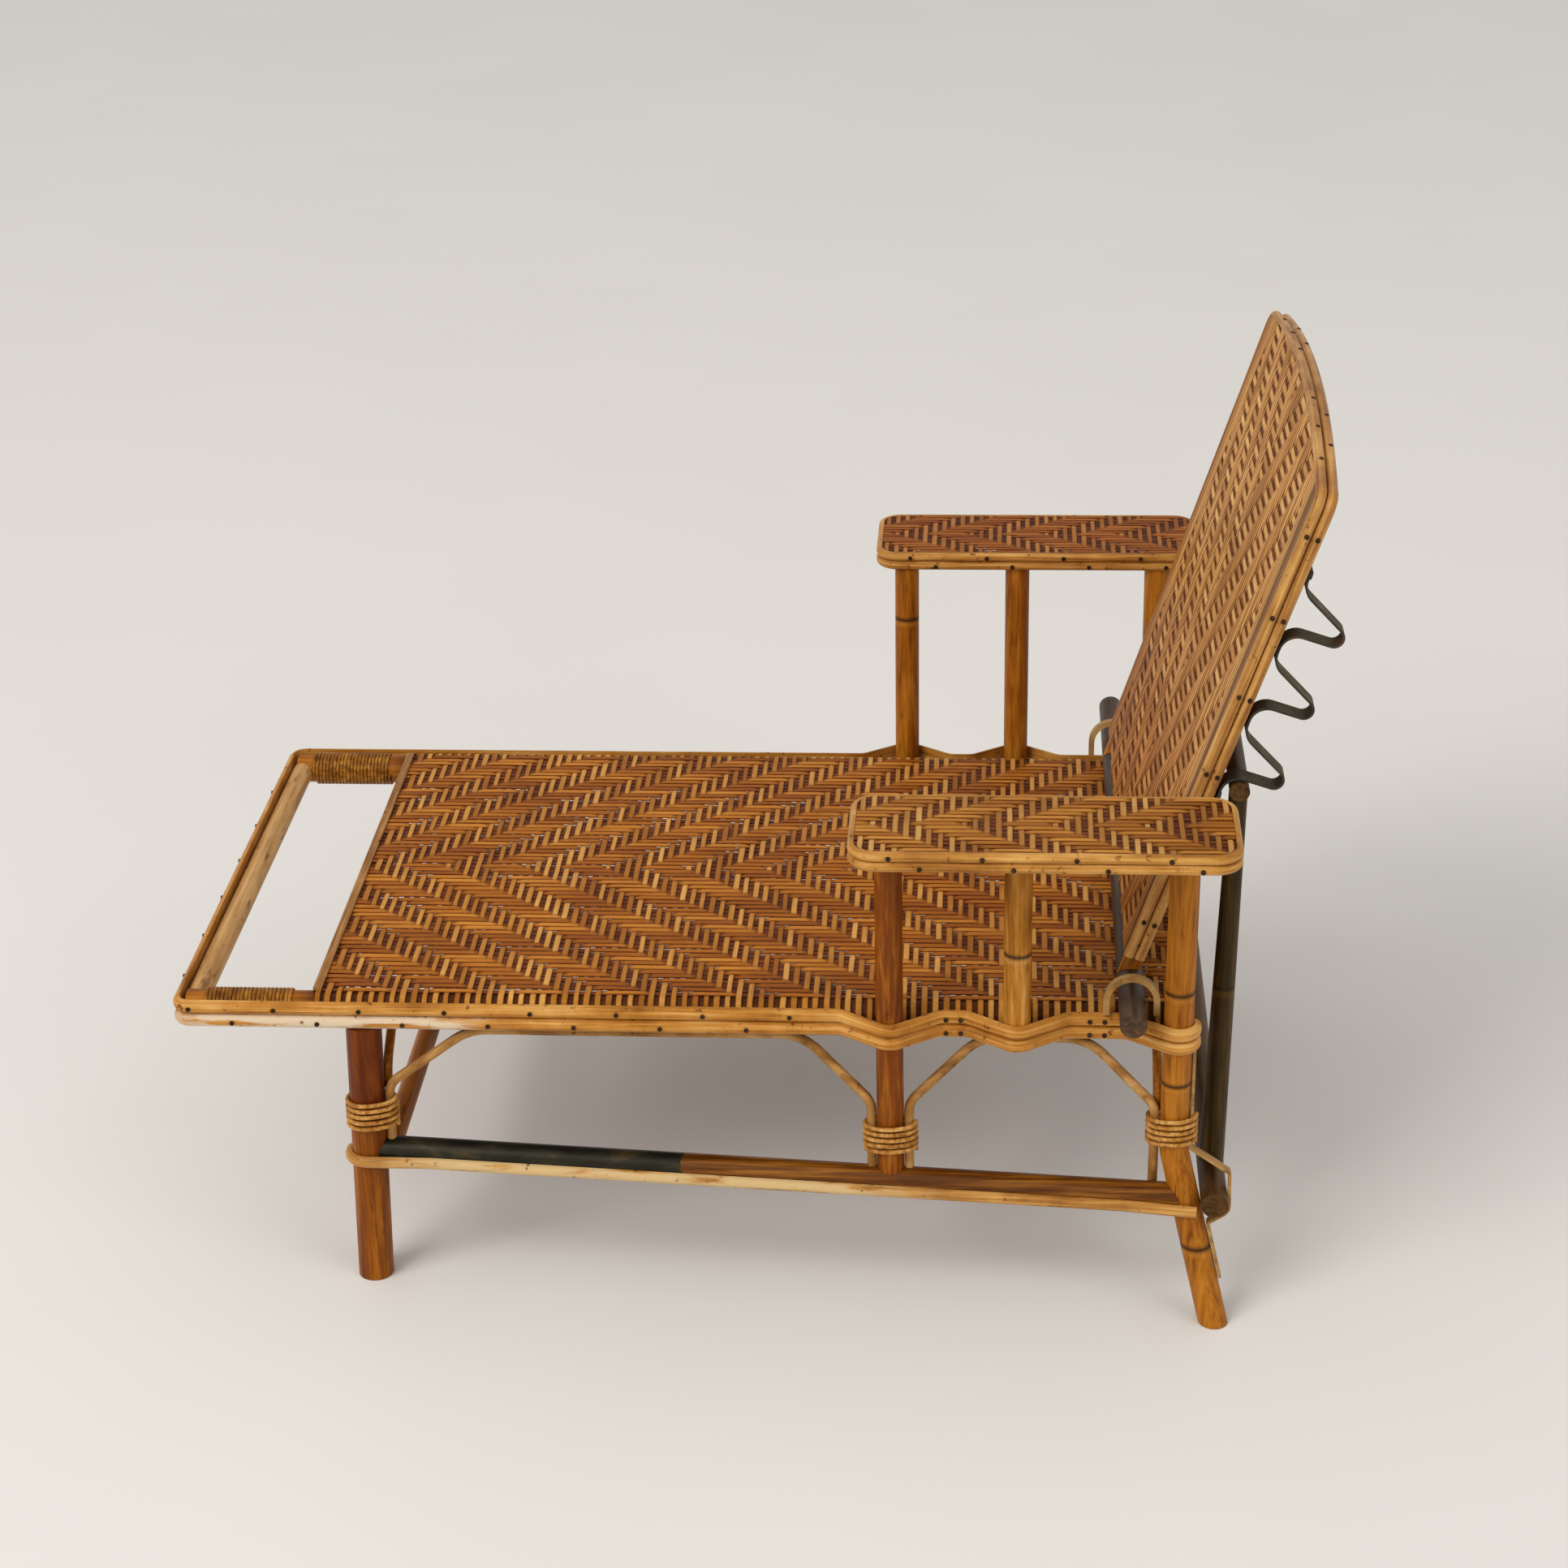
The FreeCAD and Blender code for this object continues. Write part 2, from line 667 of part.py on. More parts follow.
# Cross braces: the same rod across the seat, between the front legs and between the rear legs.
def cross_brace(leg_axis, diameter, toward):
    distance = diameter / 2 + size("brace_gap") + size("brace_diameter") / 2
    angle = math.radians(size("cross_brace_angle"))
    foot = leg_axis(1, size("cross_brace_foot"))
    x = foot.x + toward * distance * math.cos(angle)
    y = foot.y - distance * math.sin(angle)
    bend = foot.z + size("cross_brace_rise")
    top = rail_bottom - size("fit_gap") - size("brace_diameter")
    inner = y - size("cross_brace_reach")
    half = [Vector(x, y, foot.z), Vector(x, y, bend), Vector(x, inner, top)]
    points = half + [Vector(point.x, -point.y, point.z) for point in reversed(half)]
    radius = size("cross_brace_bend")
    path = rounded_wire(points, [radius, radius, radius, radius])
    return sweep(path, round_section(path, size("brace_diameter")))


feature("cross_braces", Part.makeCompound([cross_brace(front_leg_axis, leg_size, 1),
                                           cross_brace(rear_leg_axis, rear_size, -1)]))


# Wound cane: one unbroken tube on pairs of arcs, a quarter turn each.
def biarc(start, start_way, end, end_way):
    """Two arcs that meet tangentially and leave and arrive along the given directions."""
    chord = end - start
    both = start_way + end_way
    square = 2 * (1 - start_way.dot(end_way))
    if square < 1e-9:
        reach = chord.dot(chord) / (4 * chord.dot(end_way))
    else:
        mixed = chord.dot(both)
        reach = (-mixed + math.sqrt(mixed * mixed + square * chord.dot(chord))) / square
    first = start + start_way * reach
    second = end - end_way * reach
    join = (first + second) * 0.5
    return [arc_between(start, first, join), arc_between(join, second, end)]


def arc_between(start, corner, end):
    """The arc from start to end whose end tangents meet at the corner."""
    back = (start - corner).normalize()
    ahead = (end - corner).normalize()
    half = back.getAngle(ahead) / 2
    tangent_length = (start - corner).Length
    radius = tangent_length * math.tan(half)
    middle = corner + (back + ahead).normalize() * (radius / math.sin(half) - radius)
    return Part.Arc(start, middle, end).toShape()


def wound_tube(turn_point, turns, wire):
    """turn_point gives the place of an angle on the winding; the gap to itself is measured."""
    steps = turns * STEPS_PER_TURN
    quarter = 2 * math.pi / STEPS_PER_TURN
    small = quarter / 1000
    edges = []
    for step in range(steps):
        places = []
        for angle in (step * quarter, (step + 1) * quarter):
            way = (turn_point(angle + small) - turn_point(angle - small)).normalize()
            places += [turn_point(angle), way]
        edges += biarc(places[0], places[1], places[2], places[3])
    path = Part.Wire(edges)
    return sweep(path, round_section(path, wire)), least_gap(turn_point, turns, wire)


def least_gap(turn_point, turns, wire):
    """The least distance between neighbouring turns, less the wire."""
    samples = 24
    points = [turn_point(2 * math.pi * index / samples) for index in range(turns * samples + 1)]
    least = min((points[a] - points[b]).Length
                for a in range(len(points))
                for b in range(a + samples // 2, min(len(points), a + 2 * samples)))
    return least - wire


def rail_winding(side):
    wire = size("winding_wire")
    radius = rail_radius + wire / 2 + size("winding_gap")
    x_start = x_foot_bar + foot_bar_radius + wire
    length = size("winding_length")

    def turn_point(angle):
        x = x_start + length * angle / (2 * math.pi * WINDING_TURNS)
        y = side * (size("rail_offset") - radius * math.cos(angle))
        return Vector(x, y, size("rail_height") + radius * math.sin(angle))
    return wound_tube(turn_point, WINDING_TURNS, wire)


for name, side in SIDES:
    tube, gap = rail_winding(side)
    feature("rail_winding_" + name, tube)
    print("rail winding", name, "least gap to itself %.2f mm" % gap)


# Bindings: turns of cane round each leg or post and the braces beside it.
def binding(side, leg_axis, foot_diameter, room_low, room_high, base):
    """The rooms are for what is tied in on the leg's foot side and on its head side."""
    wire = size("binding_wire")
    reach = foot_diameter / 2 + wire / 2 + size("binding_gap")
    reach_low = reach + room_low
    reach_high = reach + room_high
    pitch = size("binding_pitch")

    def turn_point(angle):
        height = base + pitch * angle / (2 * math.pi)
        centre = leg_axis(side, height)
        along = math.cos(angle)
        x = centre.x + (reach_high if along > 0 else reach_low) * along
        return Vector(x, centre.y - side * reach * math.sin(angle), height)
    return wound_tube(turn_point, BINDING_TURNS, wire)


brace_room = size("brace_gap") + size("brace_diameter")
loop_room = size("loop_leg_gap") + size("loop_thickness") + size("binding_gap") * 3
BOUND = {
    "front_leg_bindings": (front_leg_axis, leg_size, 0, brace_room, size("leg_binding_height")),
    "post_bindings": (front_post_axis, post_size, brace_room, brace_room, size("post_binding_height")),
    "rear_leg_bindings": (rear_leg_upper, rear_size, brace_room, loop_room, size("rear_binding_height")),
}
for label, (leg_axis, diameter, room_low, room_high, base) in BOUND.items():
    tubes = []
    for name, side in SIDES:
        tube, gap = binding(side, leg_axis, diameter, room_low, room_high, base)
        tubes.append(tube)
        print(label, name, "least gap to itself %.2f mm" % gap)
    feature(label, Part.makeCompound(tubes))

# Armrests: a bent ring with cross bars, a woven top and two half-round strips round the edge.
x_arm_front = x_front_post - size("arm_front_reach")
x_arm_rear = x_arm_front + size("arm_length")
arm_outer_offset = size("arm_inner_offset") + size("arm_width")


def arm_outline(side, inset, height, radius):
    """A closed rounded rectangle that starts halfway along the inner side."""
    x_low = x_arm_front + inset
    x_high = x_arm_rear - inset
    y_low = side * (size("arm_inner_offset") + inset)
    y_high = side * (arm_outer_offset - inset)
    x_middle = (x_low + x_high) / 2
    points = [Vector(x_middle, y_low, height), Vector(x_high, y_low, height), Vector(x_high, y_high, height),
              Vector(x_low, y_high, height), Vector(x_low, y_low, height)]
    return rounded_wire(points, [radius] * 4, closed=True)


ring_radius = size("arm_ring_diameter") / 2
strip_inset = size("arm_strip_thickness")
ring_inset = strip_inset + size("fit_gap") + ring_radius
for name, side in SIDES:
    corner = size("arm_corner_radius")
    ring_path = arm_outline(side, ring_inset, arm_ring_height, corner - size("fit_gap") - ring_radius)
    feature("arm_frame_" + name, sweep(ring_path, round_section(ring_path, size("arm_ring_diameter"))))

bar_start = size("arm_inner_offset") + ring_inset + ring_radius + size("nail_seat_gap")
bar_end = arm_outer_offset - ring_inset - ring_radius - size("nail_seat_gap")
bars = []
for name, side in SIDES:
    for x in (x_front_post, x_middle_post, x_rear_leg):
        foot = Vector(x, side * bar_start, arm_ring_height)
        bars.append(Part.makeCylinder(size("arm_bar_diameter") / 2, bar_end - bar_start, foot, ACROSS * side))
feature("arm_cross_bars", Part.makeCompound(bars))

for name, side in SIDES:
    body = doc.addObject("PartDesign::Body", "arm_weave_" + name)
    sketch = sketch_on(body, "arm_outline_" + name, "XY_Plane")
    outline = arm_outline(side, strip_inset + size("fit_gap"), 0, size("arm_corner_radius") - size("fit_gap"))
    draw_outline(sketch, outline)
    pad(body, sketch, "arm_sheet_" + name, "Sizes.weave_thickness")
    body.Placement.Base = Vector(0, 0, size("arm_top_height") - size("weave_thickness"))
    keep(body, "arm_weave_" + name)

# A half-round strip deeper than half its height bulges to the full width of its circle.
arm_strip_round = (strip_inset ** 2 + (size("arm_strip_height") / 2) ** 2) / (2 * strip_inset)
arm_strip_middles = {
    "upper": size("arm_top_height") - arm_strip_round,
    "lower": size("arm_top_height") - 3 * arm_strip_round - size("strip_parting"),
}
for level, height in arm_strip_middles.items():
    rings = []
    for name, side in SIDES:
        path = arm_outline(side, strip_inset, height, size("arm_corner_radius"))
        section = half_round_section(path, Vector(0, -side, 0), size("arm_strip_height"), strip_inset)
        rings.append(sweep(path, section))
    feature("arm_strips_" + level, Part.makeCompound(rings))

# Pivot of the back: its bottom bar lies on the woven side rails, under a cane arch at each side.
pivot_radius = size("pivot_bar_diameter") / 2
pivot = Vector(x_rear_leg - size("pivot_setback"), 0, weave_top + size("running_gap") + pivot_radius)
arch_middle = strip_inside + size("arch_width") / 2
arch_line_radius = size("arch_inner_radius") + size("arch_thickness") / 2
arches = []
for name, side in SIDES:
    y = side * arch_middle
    foot = rail_top + size("fit_gap")
    left_foot = Vector(pivot.x - arch_line_radius, y, foot)
    right_foot = Vector(pivot.x + arch_line_radius, y, foot)
    left_top = Vector(pivot.x - arch_line_radius, y, pivot.z)
    right_top = Vector(pivot.x + arch_line_radius, y, pivot.z)
    crown = Vector(pivot.x, y, pivot.z + arch_line_radius)
    path = Part.Wire([Part.LineSegment(left_foot, left_top).toShape(),
                      Part.Arc(left_top, crown, right_top).toShape(),
                      Part.LineSegment(right_top, right_foot).toShape()])
    arches.append(sweep(path, flat_section(path, ACROSS, size("arch_width"), size("arch_thickness"))))
feature("pivot_arches", Part.makeCompound(arches))

# The back is drawn upright about its pivot, with X to the rear, and then laid back by its tilt.
back_place = FreeCAD.Placement(pivot, FreeCAD.Rotation(ACROSS, size("back_tilt")))
pole_radius = size("back_pole_diameter") / 2
plane_shift = -size("back_pole_shift")
half_bottom = size("back_bottom_half_width")
half_top = size("back_top_half_width")
side_length = size("back_side_length")
widening_share = (half_top - half_bottom) / side_length


def back_half_width(height):
    return half_bottom + widening_share * height


def back_point(across, height, depth=plane_shift):
    return Vector(depth, across, height)


def bow_arc(offset):
    """The arched top, moved outward by an offset; drawn flat, with X across and Y up."""
    ends = back_half_width(side_length)
    crown = side_length + size("back_rise") + offset
    radius = (ends ** 2 + size("back_rise") ** 2) / (2 * size("back_rise"))
    centre = side_length + size("back_rise") - radius
    reach = ends + offset
    height = centre + math.sqrt((radius + offset) ** 2 - reach ** 2)
    return Part.Arc(Vector(-reach, height, 0), Vector(0, crown, 0), Vector(reach, height, 0))


def back_rim(offset):
    """The back's edge from its left foot over the top to its right foot, drawn flat."""
    bow = bow_arc(offset)
    corner = size("back_corner_radius")
    low_reach = back_half_width(weave_bottom) + offset
    foot = Vector(-low_reach, weave_bottom, 0)
    rise = (bow.StartPoint - foot).normalize()
    side_end = bow.StartPoint - rise * corner
    mark_place = bow.parameterAtDistance(corner)
    mark = bow.value(mark_place)
    mark_way = Vector(*bow.tangent(mark_place)[0])
    left = [Part.LineSegment(foot, side_end).toShape()] + biarc(side_end, rise, mark, mark_way)
    crown = Vector(0, side_length + size("back_rise") + offset, 0)
    top = Part.Arc(mark, crown, Vector(-mark.x, mark.y, 0)).toShape()
    right = [edge.mirror(Vector(0, 0, 0), Vector(1, 0, 0)) for edge in reversed(left)]
    return Part.Wire(left + [top] + right)


def stand_up(shape, depth):
    """From the flat drawing to the back's own place at a depth."""
    shape.Placement = FreeCAD.Placement(Vector(depth, 0, 0), FreeCAD.Rotation(Vector(1, 1, 1), 120))
    return shape


def placed_cut(label, shape):
    return feature(label, shape, back_place)


bar_left = pivot - ACROSS * size("pivot_bar_left_reach")
bar_right = pivot + ACROSS * size("pivot_bar_right_reach")
pivot_bar = cylinder("pivot_bar", bar_left, bar_right, "pivot_bar_diameter")
keep(pivot_bar, "pivot_bar")


def rod_between(start, end, radius):
    return Part.makeCylinder(radius, (end - start).Length, start, end - start)


weave_bottom = size("back_weave_bottom")
bow_path = stand_up(Part.Wire([bow_arc(0).toShape()]), plane_shift)
bow = sweep(bow_path, round_section(bow_path, size("back_pole_diameter")))
fat_bow = sweep(bow_path, round_section(bow_path, size("back_pole_diameter") + 2 * size("fit_gap")))
bar_half = size("pivot_bar_left_reach")
fat_pivot = Part.makeCylinder(pivot_radius + size("fit_gap"), 2 * bar_half, Vector(0, -bar_half, 0), ACROSS)
placed_cut("back_top_bow", bow)
for name, side in SIDES:
    foot = back_point(side * back_half_width(0), 0)
    head = back_point(side * back_half_width(side_length), side_length)
    pole = rod_between(foot, head, pole_radius).cut(fat_bow).cut(fat_pivot)
    placed_cut("back_side_pole_" + name, max(pole.Solids, key=lambda piece: piece.Volume))
for label, alias in (("back_lower_rail", "back_lower_rail_height"), ("back_middle_rail", "back_middle_rail_height")):
    height = size(alias)
    ends = back_half_width(height)
    rail = rod_between(back_point(-ends, height), back_point(ends, height), size("back_rail_diameter") / 2)
    for side in (-1, 1):
        foot = back_point(side * back_half_width(0), 0)
        head = back_point(side * back_half_width(side_length), side_length)
        rail = rail.cut(rod_between(foot, head, pole_radius + size("fit_gap")))
    placed_cut(label, max(rail.Solids, key=lambda piece: piece.Volume))

# Woven panel in front of the back's poles.
weave_back = plane_shift - pole_radius - size("fit_gap")
body = doc.addObject("PartDesign::Body", "back_weave")
sketch = sketch_on(body, "back_outline", "YZ_Plane")
rim = back_rim(pole_radius)
draw_outline(sketch, rim)
feet = [rim.OrderedVertexes[0].Point, rim.OrderedVertexes[-1].Point]
sketch.addGeometry(Part.LineSegment(feet[1], feet[0]), False)
pad(body, sketch, "back_sheet", "Sizes.weave_thickness")
body.Placement = back_place.multiply(
    FreeCAD.Placement(Vector(weave_back - size("weave_thickness"), 0, 0), FreeCAD.Rotation()))
keep(body, "back_weave")

# Half-round strips round the back's edge, a front one over the weave's edge and a rear one.
edge_front = weave_back - size("weave_thickness") - size("fit_gap")
strip_width = size("back_strip_width")
strip_depths = {
    "front": edge_front + strip_width / 2,
    "rear": edge_front + strip_width * 1.5 + size("strip_parting"),
}
edge_offset = pole_radius + size("fit_gap")
for name, depth in strip_depths.items():
    path = stand_up(back_rim(edge_offset), depth)
    section = half_round_section(path, Vector(0, -1, 0), strip_width, size("back_strip_thickness"))
    placed_cut("back_strip_" + name, sweep(path, section))

# Iron rack straps: a flat strip bent into three notches, screwed behind the back's side poles.
rear_face = plane_shift + pole_radius
strap_half = size("rack_thickness") / 2
top_bar_radius = size("prop_top_bar_diameter") / 2
strap_depth = rear_face + size("fit_gap") + strap_half
notch_depth = strap_depth + size("rack_notch_radius")
hook_rise = top_bar_radius + size("rack_notch_gap") + strap_half


def crest_tip(ramp_depth, ramp_height, hook_height):
    """The sharp corner whose fillet just reaches the crest's depth."""
    radius = size("rack_crest_radius")
    reach = size("rack_crest_depth") - strap_half
    near, far = reach, 3 * reach
    for _ in range(SEARCH_STEPS):
        depth = (near + far) / 2
        half = math.atan2(ramp_height - hook_height, depth - ramp_depth) / 2
        if depth - radius / math.tan(half) + radius > reach:
            far = depth
        else:
            near = depth
    return depth, hook_height


def rack_corners():
    """The strap's corners in depth and height from its head down, each with its bend radius."""
    notch = size("rack_first_notch")
    pitch = size("rack_pitch")
    head = notch + (NOTCHES - 1) * pitch + size("rack_ramp_height") + size("rack_head")
    corners = [(strap_depth, head)]
    radii = []
    for number in reversed(range(NOTCHES)):
        height = notch + number * pitch
        hook = height + hook_rise
        ramp = height + size("rack_ramp_height")
        corners += [(strap_depth, ramp), crest_tip(strap_depth, ramp, hook), (strap_depth, hook)]
        radii += [size("rack_ramp_radius"), size("rack_crest_radius"), size("rack_notch_radius")]
    corners.append((strap_depth, notch - size("rack_tail")))
    return corners, radii


strap_corners, strap_radii = rack_corners()
for name, side in SIDES:
    y = side * size("rack_offset")
    path = rounded_wire([Vector(depth, y, height) for depth, height in strap_corners], strap_radii)
    strap = sweep(path, flat_section(path, ACROSS, size("rack_width"), size("rack_thickness")))
    placed_cut("rack_strap_" + name, strap)

screws = []
for name, side in SIDES:
    depth = strap_depth + strap_half
    screw_inset = size("screw_head_diameter")
    for height in (strap_corners[0][1] - screw_inset, strap_corners[-1][1] + screw_inset):
        seat = Vector(depth + size("nail_seat_gap"), side * size("rack_offset"), height)
        radius = size("screw_head_diameter") / 2
        screws.append(Part.makeCylinder(radius, size("screw_head_height"), seat, Vector(1, 0, 0)))
placed_cut("rack_screws", Part.makeCompound(screws))

# Prop frame: two tapering poles between a bottom bar behind the rear legs and a top bar in the rack.
leg_at_bar = rear_leg_axis(1, size("prop_bar_height"))
leg_lean = math.atan(size("rear_foot_rake") / knee)
bottom_bar_radius = size("prop_bottom_bar_diameter") / 2
x_bottom_bar = (leg_at_bar.x + (rear_size / 2 + size("running_gap") + bottom_bar_radius) / math.cos(leg_lean))
bottom_axis = Vector(x_bottom_bar, 0, size("prop_bar_height"))
top_axis = back_place.multVec(Vector(notch_depth, 0, size("rack_first_notch")))
bottom_reach = leg_at_bar.y + size("prop_bottom_bar_overhang")
for label, axis_point, reach, alias in (
        ("prop_bottom_bar", bottom_axis, bottom_reach, "prop_bottom_bar_diameter"),
        ("prop_top_bar", top_axis, size("prop_top_bar_reach"), "prop_top_bar_diameter")):
    keep(cylinder(label, axis_point - ACROSS * reach, axis_point + ACROSS * reach, alias), label)

prop_way = (top_axis - bottom_axis).normalize()
prop_length = (top_axis - bottom_axis).Length


def taper(name, start, length, low_size, high_size):
    cone = doc.addObject("Part::Cone", name)
    cone.setExpression("Radius1", low_size)
    cone.setExpression("Radius2", high_size)
    cone.Height = length
    cone.Placement = FreeCAD.Placement(start, FreeCAD.Rotation(UP, prop_way))
    return cone


for name, side in SIDES:
    foot = bottom_axis + ACROSS * (side * size("prop_pole_offset"))
    head = top_axis + ACROSS * (side * size("prop_pole_offset"))
    butt = foot + prop_way * size("prop_pole_butt_length")
    tip = head - prop_way * size("prop_pole_butt_length")
    pole = doc.addObject("Part::MultiFuse", "prop_pole_stock_" + name)
    pole.Shapes = [
        cylinder("prop_butt_" + name, foot, butt, "prop_pole_diameter"),
        taper("prop_taper_" + name, butt, (tip - butt).Length,
              "Sizes.prop_pole_diameter / 2", "Sizes.prop_pole_top_diameter / 2"),
        cylinder("prop_tip_" + name, tip, head, "prop_pole_top_diameter"),
    ]
    low = cylinder("bottom_bar_cutter_" + name, foot - ACROSS * leg_size, foot + ACROSS * leg_size,
                   "prop_bottom_bar_diameter", "nail_seat_gap")
    high = cylinder("top_bar_cutter_" + name, head - ACROSS * leg_size, head + ACROSS * leg_size,
                    "prop_top_bar_diameter", "nail_seat_gap")
    keep(cut("prop_pole_" + name, pole, low, high), "prop_pole_" + name)


# Cane loops: a flat strip down the back of each rear leg, round the prop's bottom bar, and on down.
LOOP_SHOULDER_SHARE = 1.5
LOOP_BEND_SHARE = 0.8
LOOP_CREASE_SHARE = 1.5


def loop_shape(side):
    half_thick = size("loop_thickness") / 2
    clear = rear_size / 2 + size("loop_leg_gap") + half_thick
    lean_clear = clear / math.cos(leg_lean)
    around = bottom_bar_radius + size("running_gap") + half_thick
    top = strip_bottom - size("fit_gap")
    below = size("prop_bar_height") - bottom_bar_radius - around + half_thick
    end = size("loop_foot_height")
    places = [(x_rear_leg + clear, top),
              (x_rear_leg + clear, knee + half_thick),
              (x_bottom_bar + around, size("prop_bar_height") + around * LOOP_SHOULDER_SHARE),
              (x_bottom_bar + around, size("prop_bar_height") - around),
              (rear_leg_axis(1, below).x + lean_clear, below),
              (rear_leg_axis(1, end).x + lean_clear, end)]
    points = [Vector(x, rear_leg_axis(side, height).y, height) for x, height in places]
    small = size("loop_thickness") * LOOP_CREASE_SHARE
    path = rounded_wire(points, [small, small, around * LOOP_BEND_SHARE, small])
    shell = Part.BRepOffsetAPI.MakePipeShell(path)
    shell.setBiNormalMode(ACROSS)
    shell.add(flat_section(path, ACROSS, size("loop_width"), size("loop_thickness")))
    shell.build()
    shell.makeSolid()
    return Part.Solid(shell.shape())


feature("prop_bar_loops", Part.makeCompound([loop_shape(side) for _, side in SIDES]))


# Nails: small round heads along the strips.
def nail(point, outward):
    base = point + outward * size("nail_seat_gap")
    return Part.makeCylinder(size("nail_head_diameter") / 2, size("nail_head_height"), base, outward)


def strip_nail_places(course):
    """Places along the straight run up to the first post, then a pair in each bay between posts."""
    places = []
    x = x_foot_end + size("strip_corner_radius") + size("strip_thickness") + course * size("nail_pitch") / 2
    while x < x_front_post - size("nail_pitch"):
        places.append(x)
        x += size("nail_pitch")
    for before, after in ((x_front_post, x_middle_post), (x_middle_post, x_rear_leg)):
        middle = (before + after) / 2
        places += [middle - size("strip_height") / 2, middle + size("strip_height") / 2]
    return places


frame_nails = []
for course, height in enumerate(strip_middles.values()):
    for x in strip_nail_places(course):
        for name, side in SIDES:
            face = side * (strip_inside + size("strip_thickness"))
            frame_nails.append(nail(Vector(x, face, height), ACROSS * side))
    y = -size("rail_offset") + (1 + course) * size("nail_pitch") / 2
    while y < size("rail_offset"):
        frame_nails.append(nail(Vector(x_foot_end, y, height), Vector(-1, 0, 0)))
        y += size("nail_pitch")
for course, height in enumerate(arm_strip_middles.values()):
    for name, side in SIDES:
        x = x_arm_front + 2 * size("arm_corner_radius") + course * size("nail_pitch") / 3
        while x < x_arm_rear - size("arm_corner_radius"):
            frame_nails.append(nail(Vector(x, side * arm_outer_offset, height), ACROSS * side))
            frame_nails.append(nail(Vector(x, side * size("arm_inner_offset"), height), ACROSS * -side))
            x += size("nail_pitch")
feature("frame_nails", Part.makeCompound(frame_nails))

back_nails = []
slant = math.atan(widening_share)
for depth in strip_depths.values():
    height = weave_bottom + size("nail_pitch") / 2
    while height < side_length - size("nail_pitch") / 4:
        for name, side in SIDES:
            outward = Vector(0, side * math.cos(slant), -math.sin(slant))
            face = edge_offset + size("back_strip_thickness")
            start = Vector(depth, side * back_half_width(height), height)
            back_nails.append(nail(start + outward * face, outward))
        height += size("nail_pitch")
placed_cut("back_nails", Part.makeCompound(back_nails))

# Checks before anything is written
doc.recompute()
failed = [obj.Label for obj in doc.Objects if "Invalid" in obj.State or "Error" in obj.State]
for obj in nodes:
    if obj.Shape.isNull() or not obj.Shape.isValid() or obj.Shape.Volume <= 0:
        failed.append(obj.Label)
if failed:
    raise RuntimeError("failed objects: " + ", ".join(failed))

os.makedirs("parts", exist_ok=True)
for obj in nodes:
    obj.Shape.exportStep("parts/%s.step" % obj.Label)
print(len(nodes), "nodes written")
print("pivot of the back %.2f %.2f" % (pivot.x, pivot.z))
print("bottom bar %.2f %.2f" % (bottom_axis.x, bottom_axis.z))
print("top bar %.2f %.2f" % (top_axis.x, top_axis.z))
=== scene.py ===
import math
from collections import namedtuple

import bpy
import numpy as np
from mathutils import Matrix, Vector


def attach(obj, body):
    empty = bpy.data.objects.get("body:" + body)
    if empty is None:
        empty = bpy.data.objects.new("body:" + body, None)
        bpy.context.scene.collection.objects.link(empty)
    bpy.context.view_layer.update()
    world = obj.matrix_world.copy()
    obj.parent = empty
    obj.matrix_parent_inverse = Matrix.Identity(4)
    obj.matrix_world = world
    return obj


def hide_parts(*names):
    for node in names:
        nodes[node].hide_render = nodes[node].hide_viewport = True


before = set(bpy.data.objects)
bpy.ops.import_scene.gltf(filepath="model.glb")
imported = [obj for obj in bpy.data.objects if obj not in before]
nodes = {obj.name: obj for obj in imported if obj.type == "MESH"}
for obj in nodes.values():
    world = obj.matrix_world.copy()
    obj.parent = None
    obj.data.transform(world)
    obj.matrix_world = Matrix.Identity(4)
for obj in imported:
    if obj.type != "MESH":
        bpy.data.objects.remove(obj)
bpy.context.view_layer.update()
bpy.ops.object.select_all(action="DESELECT")


# Side rails. Two long rattan poles, peeled and lacquered an amber brown, with the legs and posts
# coped to them and nailed. Behind the hand-hole, where strips and seat cover the rails, they are
# darkened with painted shade.
AMBER_DARK = (0.120, 0.026, 0.001)
AMBER = (0.300, 0.090, 0.004)
AMBER_PALE = (0.480, 0.185, 0.018)
CLEAN = (1.0, 1.0, 1.0)
# A warm tint on every reflection: a painted reflection of warm surroundings the studio doesn't have.
WARM_REFLECTION_TINT = (1.0, 0.78, 0.50, 1)
POLE_SPECK = (0.42, 0.33, 0.28)
NODE_RING = (0.018, 0.007, 0.003)
NODE_RING_REACH, NODE_SCAR_DROP, NODE_SCAR_REACH = 0.0035, 0.004, 0.004
NODE_SCAR_HEIGHT = 2.0

# A patch of painted shade or of real wear: its place and reach along an axis, and how sharply it ends.
Patch = namedtuple("Patch", "axis place reach sharpness colour")


def start_finish(name, roughness, lacquer):
    finish = bpy.data.materials.new(name)
    finish.use_nodes = True
    shader = shader_of(finish)
    shader.inputs["Coat Weight"].default_value = lacquer
    shader.inputs["Coat Roughness"].default_value = 0.3
    shader.inputs["Roughness"].default_value = roughness
    shader.inputs["Specular IOR Level"].default_value = 0.2
    # Reflections tinted warm, as painted reflection of warm surroundings.
    shader.inputs["Specular Tint"].default_value = WARM_REFLECTION_TINT
    return finish


def shader_of(finish):
    return finish.node_tree.nodes["Principled BSDF"]


def add_step(finish, kind, **inputs):
    step = finish.node_tree.nodes.new(kind)
    for label, value in inputs.items():
        step.inputs[label.replace("_", " ")].default_value = value
    return step


def link(finish, source, target):
    finish.node_tree.links.new(source, target)


def connect(finish, value, socket):
    """A node's output is linked to the socket; a plain number or colour is set on it."""
    if hasattr(value, "is_output"):
        link(finish, value, socket)
    elif isinstance(value, tuple):
        socket.default_value = (*value, 1)
    else:
        socket.default_value = value


